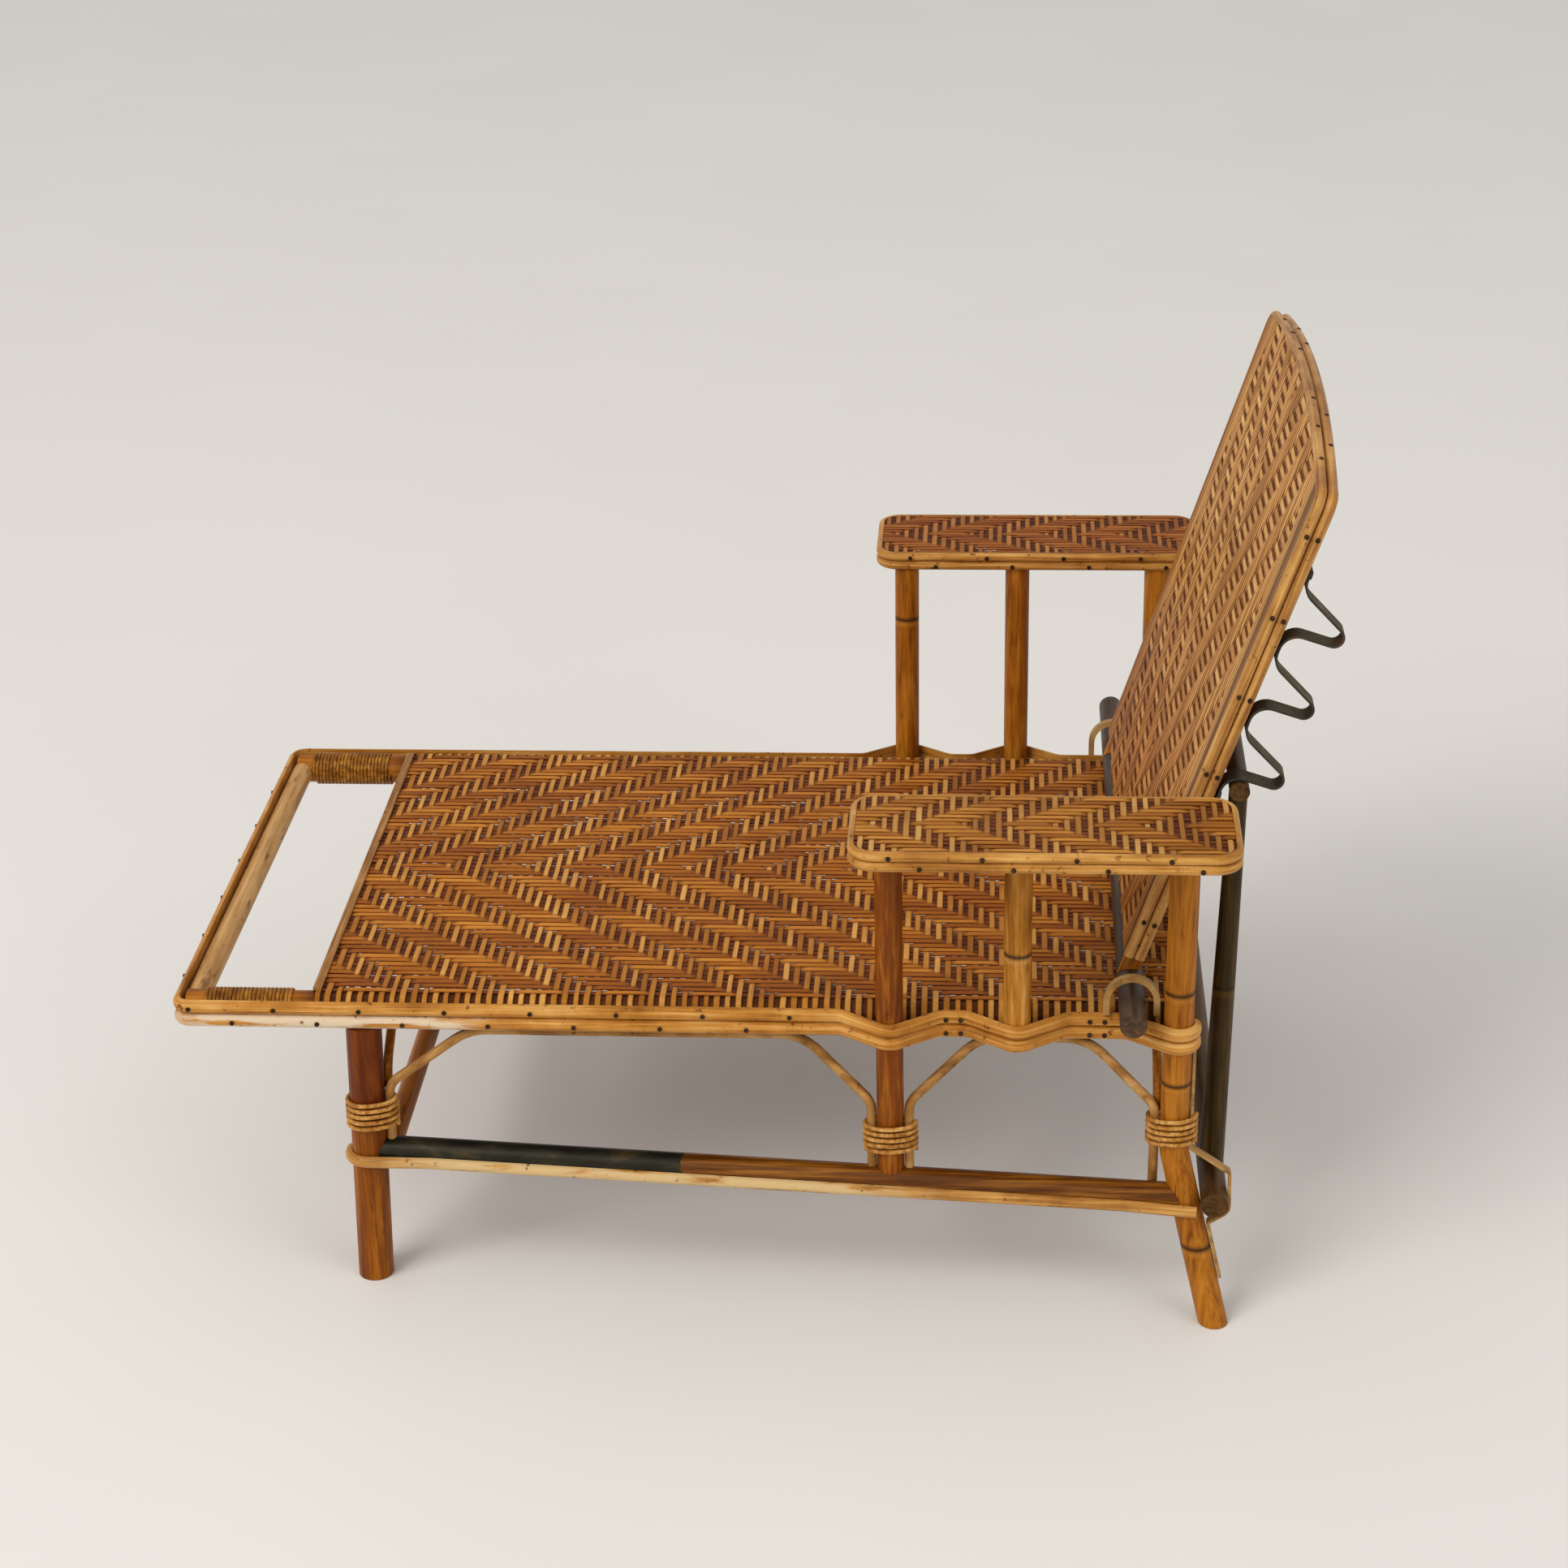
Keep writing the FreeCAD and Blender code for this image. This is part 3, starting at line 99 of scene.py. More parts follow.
def place_of(finish, stretch=(1, 1, 1), tilt=0.0):
    """The point on the piece, turned upright by the tilt and then stretched along the grain."""
    point = add_step(finish, "ShaderNodeTexCoord")
    turned = add_step(finish, "ShaderNodeMapping", Rotation=(0, -tilt, 0))
    stretched = add_step(finish, "ShaderNodeMapping", Scale=stretch)
    link(finish, point.outputs["Object"], turned.inputs["Vector"])
    link(finish, turned.outputs["Vector"], stretched.inputs["Vector"])
    return stretched.outputs["Vector"]


def noise(finish, stretch, detail, tilt=0.0):
    """Cloudy noise; the stretch says how many clouds there are per metre each way."""
    cloud = add_step(finish, "ShaderNodeTexNoise", Scale=1.0, Detail=detail, Roughness=0.6)
    link(finish, place_of(finish, stretch, tilt), cloud.inputs["Vector"])
    return cloud.outputs["Fac"]


def shades(finish, amount, *stops):
    """Colours by the amount: each stop is a place from 0 to 1 and its colour."""
    band = finish.node_tree.nodes.new("ShaderNodeValToRGB")
    elements = band.color_ramp.elements
    while len(elements) < len(stops):
        elements.new(0.5)
    for element, (place, colour) in zip(elements, stops):
        element.position = place
        element.color = (*colour, 1)
    link(finish, amount, band.inputs["Fac"])
    return band.outputs["Color"]


def blend(finish, amount, first, second, way="MIX"):
    mix = finish.node_tree.nodes.new("ShaderNodeMix")
    mix.data_type = "RGBA"
    mix.blend_type = way
    connect(finish, amount, mix.inputs["Factor"])
    connect(finish, first, mix.inputs["A"])
    connect(finish, second, mix.inputs["B"])
    return mix.outputs["Result"]


def darken(finish, colour, by):
    return blend(finish, 1.0, colour, by, "MULTIPLY")


def arithmetic(finish, kind, *values):
    step = finish.node_tree.nodes.new("ShaderNodeMath")
    step.operation = kind
    for value, socket in zip(values, step.inputs):
        connect(finish, value, socket)
    return step.outputs["Value"]


def near(finish, axis, place, reach, tilt=0.0):
    """One at a place along an axis, fading to nothing at the reach."""
    split = add_step(finish, "ShaderNodeSeparateXYZ")
    link(finish, place_of(finish, tilt=tilt), split.inputs["Vector"])
    away = arithmetic(finish, "ABSOLUTE", arithmetic(finish, "SUBTRACT", split.outputs[axis], place))
    fade = arithmetic(finish, "SUBTRACT", 1.0, arithmetic(finish, "DIVIDE", away, reach))
    return arithmetic(finish, "MAXIMUM", fade, 0.0)


def inside(finish, patch):
    """One over the patch, fading to nothing at its reach."""
    fade = near(finish, patch.axis, patch.place, patch.reach)
    return arithmetic(finish, "MINIMUM", arithmetic(finish, "MULTIPLY", fade, patch.sharpness), 1.0)


def with_painted_shade(finish, colour, shade_patches):
    """Painted shade over the colour."""
    for shade_patch in shade_patches:
        colour = blend(finish, inside(finish, shade_patch), colour, darken(finish, colour, shade_patch.colour))
    return colour


def cover(finish, colour, height, depth):
    """The finish gets its colour, and the height as a relief this deep."""
    bump = add_step(finish, "ShaderNodeBump", Strength=0.6, Distance=depth)
    link(finish, height, bump.inputs["Height"])
    link(finish, bump.outputs["Normal"], shader_of(finish).inputs["Normal"])
    link(finish, colour, shader_of(finish).inputs["Base Color"])


def along(axis, lengthwise, crosswise):
    return tuple(lengthwise if letter == axis else crosswise for letter in "XYZ")


def pole_finish(name, axis, dark=AMBER_DARK, middle=AMBER, pale=AMBER_PALE, rings=(), tilt=0.0, shade_patches=()):
    """Lacquered pole with its grain along one axis, and a dark ring and pale scar at each of its nodes."""
    finish = start_finish(name, roughness=0.46, lacquer=0.06)
    grain = noise(finish, along(axis, 9, 330), detail=4.0, tilt=tilt)
    blotches = noise(finish, along(axis, 14, 60), detail=3.0, tilt=tilt)
    amount = blend(finish, 0.45, grain, blotches)
    colour = shades(finish, amount, (0.33, dark), (0.5, middle), (0.66, pale))
    specks = noise(finish, along(axis, 30.8, 132), detail=5.0, tilt=tilt)
    colour = darken(finish, colour, shades(finish, specks, (0.60, CLEAN), (0.72, POLE_SPECK)))
    height = grain
    for place in rings:
        ring = near(finish, axis, place, NODE_RING_REACH, tilt)
        colour = blend(finish, ring, colour, NODE_RING)
        scar = near(finish, axis, place - NODE_SCAR_DROP, NODE_SCAR_REACH, tilt)
        colour = blend(finish, arithmetic(finish, "MULTIPLY", scar, 0.5), colour, pale)
        height = arithmetic(finish, "ADD", height, arithmetic(finish, "MULTIPLY", scar, NODE_SCAR_HEIGHT))
    cover(finish, with_painted_shade(finish, colour, shade_patches), height, depth=0.0006)
    return finish


def dress(finish, *names):
    for name in names:
        piece = nodes[name]
        if not piece.material_slots:
            piece.data.materials.append(finish)
        for slot in piece.material_slots:
            slot.material = finish


# Painted shade on the rails along the seat, which covers them.
rail_shade_under_seat = Patch("X", place=0.0, reach=0.322, sharpness=20.0, colour=(0.22, 0.15, 0.11))
dress(pole_finish("long_rail_pole", "X", shade_patches=[rail_shade_under_seat]), "side_rail_left", "side_rail_right")


# Foot bar. A paler pole across the foot end, rubbed by hands and coped between the side rails.
# It is the outer side of the hand-hole.
dress(pole_finish("foot_bar_pole", "Y", dark=(0.26, 0.10, 0.020), middle=(0.50, 0.27, 0.09),
                  pale=(0.66, 0.40, 0.17)), "foot_bar")


# Cross rails and bars. Plain lacquered poles across the chair: under the weave of the seat and
# the armrests, and between the stretchers and the legs, nailed at both ends.
dress(pole_finish("hidden_rail_pole", "Y"), "weave_edge_rail", "seat_middle_rail", "seat_rear_rail",
      "front_stretcher", "arm_cross_bars", "cross_braces")


# Legs. The front legs are straight poles, darker, with painted shade just below the seat. Each
# rear leg is one pole with three nodes, bent over steam, from the armrest down to the floor.
# Painted shade on the front legs just below the seat.
leg_shade_under_seat = Patch("Z", place=0.200, reach=0.090, sharpness=2.0, colour=(0.48, 0.30, 0.16))
dress(pole_finish("front_leg_pole", "Z", dark=(0.090, 0.016, 0.0004), middle=(0.235, 0.060, 0.0015),
                  pale=(0.43, 0.150, 0.010), shade_patches=[leg_shade_under_seat]), "front_leg_left", "front_leg_right")
dress(pole_finish("rear_leg_pole", "Z", middle=(0.350, 0.115, 0.006), rings=(0.058, 0.186, 0.262)),
      "rear_leg_left", "rear_leg_right")


# Arm posts. Two short poles on each side between the rail and the armrest, coped and nailed. Each
# came from another pole, so they differ in colour and in where their nodes are.
dress(pole_finish("near_front_post_pole", "Z", dark=(0.085, 0.017, 0.0005), middle=(0.195, 0.044, 0.001),
                  pale=(0.40, 0.140, 0.010)), "front_post_left")
dress(pole_finish("far_front_post_pole", "Z", rings=(0.352,)), "front_post_right")
dress(pole_finish("near_middle_post_pole", "Z", middle=(0.400, 0.150, 0.011), pale=(0.620, 0.310, 0.080),
                  rings=(0.292,)), "middle_post_left")
dress(pole_finish("far_middle_post_pole", "Z"), "middle_post_right")


# Armrest rings. One pole for each armrest, bent over steam to a ring with round corners and
# joined end to end under the weave.
dress(pole_finish("arm_ring_pole", "X"), "arm_frame_left", "arm_frame_right")


# Thin braces and arches. Whole thin rattan, paler and with a duller skin, bent from the posts to
# the underside of the rails, and two flat canes bent over the pivot of the back.
CANE_SPECK = (0.35, 0.25, 0.18)


def cane_finish(name, stretch, dark, middle, pale, roughness=0.45, lacquer=0.05, tilt=0.0, bleached=()):
    """Cane skin with fine streaks, flaked off where it is bleached."""
    finish = start_finish(name, roughness, lacquer)
    streaks = noise(finish, stretch, detail=3.0, tilt=tilt)
    amount = blend(finish, 0.4, streaks, noise(finish, (23, 23, 23), detail=4.0))
    colour = shades(finish, amount, (0.34, dark), (0.5, middle), (0.66, pale))
    for patch in bleached:
        flakes = shades(finish, noise(finish, (18, 60, 160), detail=5.0), (0.40, (0, 0, 0)), (0.50, CLEAN))
        flaked = arithmetic(finish, "MULTIPLY", inside(finish, patch), flakes)
        colour = blend(finish, flaked, colour, patch.colour)
    specks = noise(finish, (150, 150, 150), detail=2.0)
    colour = darken(finish, colour, shades(finish, specks, (0.64, CLEAN), (0.74, CANE_SPECK)))
    cover(finish, colour, streaks, depth=0.0004)
    return finish


dress(cane_finish("brace_cane", (40, 300, 40), dark=(0.16, 0.060, 0.012), middle=(0.370, 0.175, 0.045),
                  pale=(0.56, 0.32, 0.12)),
      "side_brace_front_left", "side_brace_front_right", "side_brace_rear_left", "side_brace_rear_right")
dress(cane_finish("arch_cane", (40, 500, 40), dark=(0.15, 0.065, 0.014), middle=(0.37, 0.20, 0.060),
                  pale=(0.54, 0.33, 0.12)), "pivot_arches", "prop_bar_loops")


# Side stretchers. A thicker pole on each side, painted dark green once and worn back to brown
# towards the head. The paint's edge is ragged.
PAINT_START, PAINT_RAGGEDNESS = -0.074, 0.07

stretcher = start_finish("painted_stretcher", roughness=0.45, lacquer=0.2)
stretcher_grain = noise(stretcher, (10, 260, 260), detail=4.0)
bare_pole = shades(stretcher, stretcher_grain, (0.35, (0.050, 0.012, 0.001)), (0.5, (0.130, 0.036, 0.002)),
                   (0.66, (0.27, 0.10, 0.010)))
green_paint = shades(stretcher, noise(stretcher, (40, 90, 90), detail=4.0), (0.38, (0.004, 0.005, 0.003)),
                     (0.55, (0.011, 0.012, 0.007)), (0.72, (0.055, 0.034, 0.010)))
stretcher_place = add_step(stretcher, "ShaderNodeSeparateXYZ")
link(stretcher, place_of(stretcher), stretcher_place.inputs["Vector"])
paint_rags = noise(stretcher, (35, 35, 35), detail=4.0)
paint_edge = arithmetic(stretcher, "MULTIPLY_ADD", paint_rags, PAINT_RAGGEDNESS, PAINT_START)
painted = arithmetic(stretcher, "LESS_THAN", stretcher_place.outputs["X"], paint_edge)
cover(stretcher, blend(stretcher, painted, bare_pole, green_paint), stretcher_grain, depth=0.0006)
dress(stretcher, "side_stretcher_left", "side_stretcher_right")


# Edge strips. Half-round split cane, honey coloured, two courses nailed round the foot end and
# the sides, two round each armrest and two round the back, and one along each stretcher. The lower
# course is bleached near the foot end, and the stretchers' strips in the middle.
STRIP_DARK = (0.200, 0.060, 0.006)
STRIP = (0.470, 0.190, 0.026)
STRIP_PALE = (0.680, 0.380, 0.110)
ROUND_THE_SEAT = (12, 12, 520)

bleached_foot_end = Patch("X", place=-0.30, reach=0.135, sharpness=3.0, colour=(0.66, 0.52, 0.36))
bleached_middle = Patch("X", place=-0.07, reach=0.22, sharpness=3.0, colour=(0.62, 0.43, 0.20))
dress(cane_finish("edge_strip_cane", ROUND_THE_SEAT, STRIP_DARK, STRIP, STRIP_PALE, roughness=0.4,
                  lacquer=0.1), "edge_strip_upper")
dress(cane_finish("worn_strip_cane", ROUND_THE_SEAT, STRIP_DARK, STRIP, STRIP_PALE, roughness=0.4,
                  lacquer=0.1, bleached=[bleached_foot_end]), "edge_strip_lower")
dress(cane_finish("stretcher_strip_cane", ROUND_THE_SEAT, STRIP_DARK, (0.46, 0.215, 0.050), STRIP_PALE,
                  roughness=0.4, lacquer=0.1, bleached=[bleached_middle]),
      "stretcher_strip_left", "stretcher_strip_right")
dress(cane_finish("arm_strip_cane", (14, 14, 560), STRIP_DARK, (0.46, 0.205, 0.040), STRIP_PALE,
                  roughness=0.42, lacquer=0.1), "arm_strips_upper", "arm_strips_lower")
dress(cane_finish("weave_edge_cane", (400, 12, 400), dark=(0.12, 0.040, 0.006), middle=(0.31, 0.130, 0.030),
                  pale=(0.46, 0.24, 0.08)), "weave_edge_strip")


# Woven seat. Split cane strands twilled four over and four under, the pattern mirrored on the
# middle, laid over the rails, turned down outside and caught under the edge strips. The strands
# along the seat lie close; those across it are narrower, with dark gaps between them.
STRAND_THICKNESS = 0.00075
STRAND_LIFT = 0.0004
STRAND_CROWN = 0.00012
STRAND_SMOOTHING = math.radians(50)
# No two strands are alike: each has its own width and place, strays sideways and changes its tone
STRAND_WIDTHS = (0.84, 1.08)
STRAND_OFFSET = 0.00012
STRAND_WANDER, STRAND_WANDER_MOST = 0.00006, 0.0004
TONE_DRIFT, TONE_DRIFT_MOST = 0.06, 0.3
ALONG_X, ALONG_Y, ALONG_Z = (30, 700, 700), (700, 30, 700), (700, 700, 30)
OLD_DIRT = (0.80, 0.74, 0.66)
# Painted shade where a strand dips under the strands across it.
DIP_SHADE = (0.34, 0.21, 0.12)
# Painted shade along the edges of each strand.
STRAND_EDGE_SHADE = (0.40, 0.28, 0.18)


def twill(long_count, cross_count, shift=0):
    """Where the strands across lie over those along: four over, four under, mirrored on the middle."""
    long_number, cross_number = np.meshgrid(np.arange(long_count), np.arange(cross_count), indexing="ij")
    return (cross_number - shift - np.abs(long_number - long_count // 2)) % 8 < 4


def strand_heights(on_top):
    """Height of each strand at its crossings and half way between them."""
    centres = np.where(on_top, STRAND_LIFT, -STRAND_LIFT)
    heights = np.zeros((centres.shape[0], 2 * centres.shape[1] + 1))
    heights[:, 1::2] = centres
    heights[:, 2:-1:2] = (centres[:, :-1] + centres[:, 1:]) / 2
    heights[:, 0], heights[:, -1] = centres[:, 0], centres[:, -1]
    return heights


def write_on_strands(mesh, name, values, shape):
    layer = mesh.attributes.new(name, "FLOAT", "POINT")
    layer.data.foreach_set("value", np.broadcast_to(values, shape).astype(np.float32).ravel())


def cut_away(mesh, unwanted):
    """Deletes the faces that aren't part of any strand."""
    mesh.vertices.foreach_set("select", np.zeros(len(mesh.vertices), dtype=bool))
    mesh.edges.foreach_set("select", np.zeros(len(mesh.edges), dtype=bool))
    mesh.polygons.foreach_set("select", unwanted)
    bpy.context.tool_settings.mesh_select_mode = (False, False, True)
    bpy.ops.object.mode_set(mode="EDIT")
    bpy.ops.mesh.delete(type="FACE")
    bpy.ops.object.mode_set(mode="OBJECT")


def strands(name, on_top, pitch, share, cell, crosswise, place, seed, outside=None, left_out=()):
    """One set of parallel strands of a woven panel, each a thin ribbon that goes over and under.

    The pitch is from strand to strand, the share is how much of it a strand fills, and the cell is
    from crossing to crossing.
    """
    count, cells = on_top.shape
    steps = 2 * cells + 1
    heights = strand_heights(on_top)
    chance = np.random.default_rng(seed)
    half_widths = pitch * share / 2 * chance.uniform(*STRAND_WIDTHS, count)
    wander = np.cumsum(chance.normal(0, STRAND_WANDER, (count, steps)), axis=1)
    wander -= wander.mean(axis=1, keepdims=True)
    wander = np.clip(wander, -STRAND_WANDER_MOST, STRAND_WANDER_MOST)
    middles = (np.arange(count) + 0.5) * pitch + chance.normal(0, STRAND_OFFSET, count)
    tones = chance.uniform(0, 1, count)
    drift = np.cumsum(chance.normal(0, TONE_DRIFT, (count, steps)), axis=1)
    drift = np.clip(drift, -TONE_DRIFT_MOST, TONE_DRIFT_MOST)

    side = np.array([-1.0, 0.0, 1.0])
    across = middles[:, None, None] + side[None, :, None] * half_widths[:, None, None] + wander[:, None, :]
    length = np.broadcast_to(np.arange(steps) * cell / 2, across.shape)
    lift = heights[:, None, :] + np.where(side == 0, STRAND_CROWN, 0)[None, :, None]
    first, second = (length.ravel(), across.ravel()) if crosswise else (across.ravel(), length.ravel())

    bpy.ops.object.select_all(action="DESELECT")
    bpy.ops.mesh.primitive_grid_add(x_subdivisions=2 * cells, y_subdivisions=3 * count - 1, size=1)
    piece = bpy.context.active_object
    piece.name = name
    mesh = piece.data
    rows = np.arange(len(mesh.polygons)) // (2 * cells)
    between_strands = rows % 3 == 2
    unwanted = between_strands | np.isin(rows // 3, left_out)
    if outside is not None:
        gone, (first, second) = outside(first, second)
        corners = np.zeros(4 * len(mesh.polygons), dtype=np.int32)
        mesh.polygons.foreach_get("vertices", corners)
        unwanted |= gone[corners.reshape(-1, 4)].all(axis=1)
    points = np.stack(place(first, second, lift.ravel()), axis=1)
    mesh.vertices.foreach_set("co", points.astype(np.float32).ravel())
    write_on_strands(mesh, "tone", np.clip(tones[:, None, None] + drift[:, None, :], 0, 1), across.shape)
    # How far each part of a strand dips under the others: the finish darkens it there as painted shade.
    buried = np.clip((STRAND_LIFT - heights) / (2 * STRAND_LIFT), 0, 1)
    write_on_strands(mesh, "buried", buried[:, None, :], across.shape)
    # The strand's edges, which the finish darkens as painted shade.
    write_on_strands(mesh, "rim", np.abs(side)[None, :, None], across.shape)
    cut_away(mesh, unwanted)

    wall = piece.modifiers.new("thickness", "SOLIDIFY")
    wall.thickness = STRAND_THICKNESS
    wall.offset = 0
    bpy.ops.object.modifier_apply(modifier=wall.name)
    bpy.ops.object.mode_set(mode="EDIT")
    bpy.ops.mesh.select_all(action="SELECT")
    bpy.ops.mesh.normals_make_consistent(inside=False)
    bpy.ops.object.mode_set(mode="OBJECT")
    bpy.ops.object.shade_smooth_by_angle(angle=STRAND_SMOOTHING)
    return piece


def strand_value(finish, name):
    value = finish.node_tree.nodes.new("ShaderNodeAttribute")
    value.attribute_name = name
    return value.outputs["Fac"]


def woven_finish(name, stretch, dark, middle, pale, tilt=0.0, weave_shade_patches=()):
    """Old split cane: own tone, fine streaks and dirt per strand; painted shade where it dips and at its
    edges.
    """
    finish = start_finish(name, roughness=0.55, lacquer=0.0)
    streaks = noise(finish, stretch, detail=3.0, tilt=tilt)
    amount = blend(finish, 0.5, strand_value(finish, "tone"), streaks)
    colour = shades(finish, amount, (0.18, dark), (0.5, middle), (0.82, pale))
    dirt = shades(finish, noise(finish, (9, 9, 9), detail=4.0), (0.35, OLD_DIRT), (0.6, CLEAN))
    # Painted shade where a strand dips under another.
    dip_shade = shades(finish, strand_value(finish, "buried"), (0.15, CLEAN), (0.95, DIP_SHADE))
    shadow = shades(finish, strand_value(finish, "rim"), (0.60, CLEAN), (1.0, STRAND_EDGE_SHADE))
    for mark in (dirt, dip_shade, shadow):
        colour = darken(finish, colour, mark)
    cover(finish, with_painted_shade(finish, colour, weave_shade_patches), streaks, depth=0.0002)
    return finish


SEAT_START, SEAT_END = -0.3106, 0.3234
SEAT_FLAT, SEAT_TURN, SEAT_MIDDLE = 0.201, 0.0123, 0.2368
SEAT_ROUND = SEAT_TURN * math.pi / 2
SEAT_ACROSS = 2 * (SEAT_FLAT + SEAT_ROUND)
SEAT_LONG_COUNT, SEAT_CROSS_COUNT = 69, 81
SEAT_EDGE_COUNT = 3
seat_long_pitch = SEAT_ACROSS / SEAT_LONG_COUNT
seat_cross_pitch = (SEAT_END - SEAT_START) / SEAT_CROSS_COUNT


def seat_place(across, along_seat, lift):
    """Flat over the rails, then a quarter turn down over the outside of each rail."""
    y = across - SEAT_ACROSS / 2
    beyond = np.clip(np.abs(y) - SEAT_FLAT, 0, SEAT_ROUND)
    angle = beyond / SEAT_TURN
    reach = SEAT_TURN + lift
    sideways = np.sign(y) * (np.minimum(np.abs(y), SEAT_FLAT) + np.sin(angle) * reach)
    height = SEAT_MIDDLE - SEAT_TURN + np.cos(angle) * reach
    return SEAT_START + along_seat, sideways, height


seat_cross_over = twill(SEAT_LONG_COUNT, SEAT_CROSS_COUNT)
# Where the seat turns down over the rails, only the strands across it go on
turned_down = [*range(SEAT_EDGE_COUNT), *range(SEAT_LONG_COUNT - SEAT_EDGE_COUNT, SEAT_LONG_COUNT)]
seat_cross_over[turned_down, :] = True
seat_long = strands("seat_long_strands", ~seat_cross_over, pitch=seat_long_pitch, share=0.89,
                    cell=seat_cross_pitch, crosswise=False, place=seat_place, seed=11, left_out=turned_down)
seat_cross = strands("seat_cross_strands", seat_cross_over.T, pitch=seat_cross_pitch, share=0.56,
                     cell=seat_long_pitch, crosswise=True, place=seat_place, seed=12)
seat_long.data.materials.append(woven_finish(
    "seat_long_cane", ALONG_X, dark=(0.275, 0.068, 0.002), middle=(0.450, 0.142, 0.007),
    pale=(0.640, 0.250, 0.028)))
seat_cross.data.materials.append(woven_finish(
    "seat_cross_cane", ALONG_Y, dark=(0.325, 0.104, 0.008), middle=(0.515, 0.210, 0.028),
    pale=(0.730, 0.380, 0.092)))
for piece in (seat_long, seat_cross):
    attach(piece, "frame")
    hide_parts("seat_weave")


# Woven armrests. The same strands and the same twill as the seat, mirrored on each arm's middle
# line, on a bent ring with three bars under it and its edge caught under the strips.
ARM_START, ARM_END, ARM_INNER, ARM_OUTER = 0.0867, 0.3391, 0.2275, 0.3113
ARM_CORNER, ARM_MIDDLE = 0.0139, 0.4102
HAIR = 1e-6
ARM_CROSS_COUNT, ARM_LONG_COUNT = 33, 15
arm_cross_pitch = (ARM_END - ARM_START) / ARM_CROSS_COUNT
arm_long_pitch = (ARM_OUTER - ARM_INNER) / ARM_LONG_COUNT


def arm_edge(across, along_arm):
    """Which points lie outside the rounded corners, and the same points drawn in to the edge."""
    width, length = ARM_OUTER - ARM_INNER, ARM_END - ARM_START
    inner_x = np.clip(across, ARM_CORNER, width - ARM_CORNER)
    inner_y = np.clip(along_arm, ARM_CORNER, length - ARM_CORNER)
    away = np.hypot(across - inner_x, along_arm - inner_y)
    shrink = np.minimum(1, ARM_CORNER / np.maximum(away, HAIR))
    drawn = (inner_x + (across - inner_x) * shrink, inner_y + (along_arm - inner_y) * shrink)
    return away > ARM_CORNER + HAIR, drawn


arm_cross_over = twill(ARM_LONG_COUNT, ARM_CROSS_COUNT, shift=1)
# Painted shade: the far armrest is made darker than the near one.
far_arm_shade = [Patch("Y", place=0.27, reach=0.50, sharpness=2.0, colour=(0.78, 0.58, 0.38))]
arm_long_cane = woven_finish("arm_long_cane", ALONG_X, dark=(0.260, 0.077, 0.004),
                             middle=(0.425, 0.156, 0.013), pale=(0.590, 0.255, 0.040), weave_shade_patches=far_arm_shade)
arm_cross_cane = woven_finish("arm_cross_cane", ALONG_Y, dark=(0.310, 0.115, 0.014),
                              middle=(0.470, 0.220, 0.046), pale=(0.650, 0.360, 0.110), weave_shade_patches=far_arm_shade)
for side_name, side in (("left", -1), ("right", 1)):
    def arm_place(across, along_arm, lift, side=side):
        return ARM_START + along_arm, side * (ARM_INNER + across), ARM_MIDDLE + lift

    arm_long = strands("arm_long_strands_" + side_name, ~arm_cross_over, pitch=arm_long_pitch, share=0.92,
                       cell=arm_cross_pitch, crosswise=False, place=arm_place, seed=21 + side,
                       outside=arm_edge)
    arm_cross = strands("arm_cross_strands_" + side_name, arm_cross_over.T, pitch=arm_cross_pitch,
                        share=0.54, cell=arm_long_pitch, crosswise=True, place=arm_place, seed=31 + side,
                        outside=arm_edge)
    arm_long.data.materials.append(arm_long_cane)
    arm_cross.data.materials.append(arm_cross_cane)
    for piece in (arm_long, arm_cross):
        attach(piece, "frame")
        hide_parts("arm_weave_" + side_name)


# Woven back. A panel of the same strands and twill, mirrored on the middle line, laid on the
# sitter's side of the back's poles and held at its edge by the strips. It widens towards the top,
# the strands along it lie over the others at both edges, and its edges and foot carry painted
# shade.
BACK_TILT = math.radians(18.4)
TILT_SINE, TILT_COSINE = math.sin(BACK_TILT), math.cos(BACK_TILT)
PIVOT_X, PIVOT_Z = 0.2774, 0.24745
BACK_BOTTOM, BACK_DEPTH = 0.020, -0.0111
# Half the width at the pivot, what each side widens by in a metre, and the height of the sides
BACK_HALF, BACK_WIDENING, BACK_SIDE_HEIGHT = 0.18925, 12.0 / 381.5, 0.3876
BOW_RADIUS, BOW_CENTRE = 1.1560, -0.7507
BACK_TOP = BOW_CENTRE + BOW_RADIUS
BACK_CROSS_COUNT, BACK_LONG_COUNT, BACK_EDGE_COUNT = 42, 63, 5
back_width = 2 * (BACK_HALF + BACK_WIDENING * BACK_SIDE_HEIGHT)
back_cross_pitch = (BACK_TOP - BACK_BOTTOM) / BACK_CROSS_COUNT
back_long_pitch = back_width / BACK_LONG_COUNT


def back_place(across, up_the_back, lift):
    depth, height = BACK_DEPTH - lift, BACK_BOTTOM + up_the_back
    x = PIVOT_X + depth * TILT_COSINE + height * TILT_SINE
    z = PIVOT_Z - depth * TILT_SINE + height * TILT_COSINE
    return x, across - back_width / 2, z


def back_edge(across, up_the_back):
    """Which points lie outside the poles and the bow, and the same points drawn in to the edge."""
    y, height = across - back_width / 2, BACK_BOTTOM + up_the_back
    half = BACK_HALF + BACK_WIDENING * height
    inside_y = np.clip(y, -half, half)
    arch = BOW_CENTRE + np.sqrt(BOW_RADIUS ** 2 - inside_y ** 2)
    gone = (np.abs(y) > half + HAIR) | (height > arch + HAIR)
    return gone, (inside_y + back_width / 2, np.minimum(height, arch) - BACK_BOTTOM)


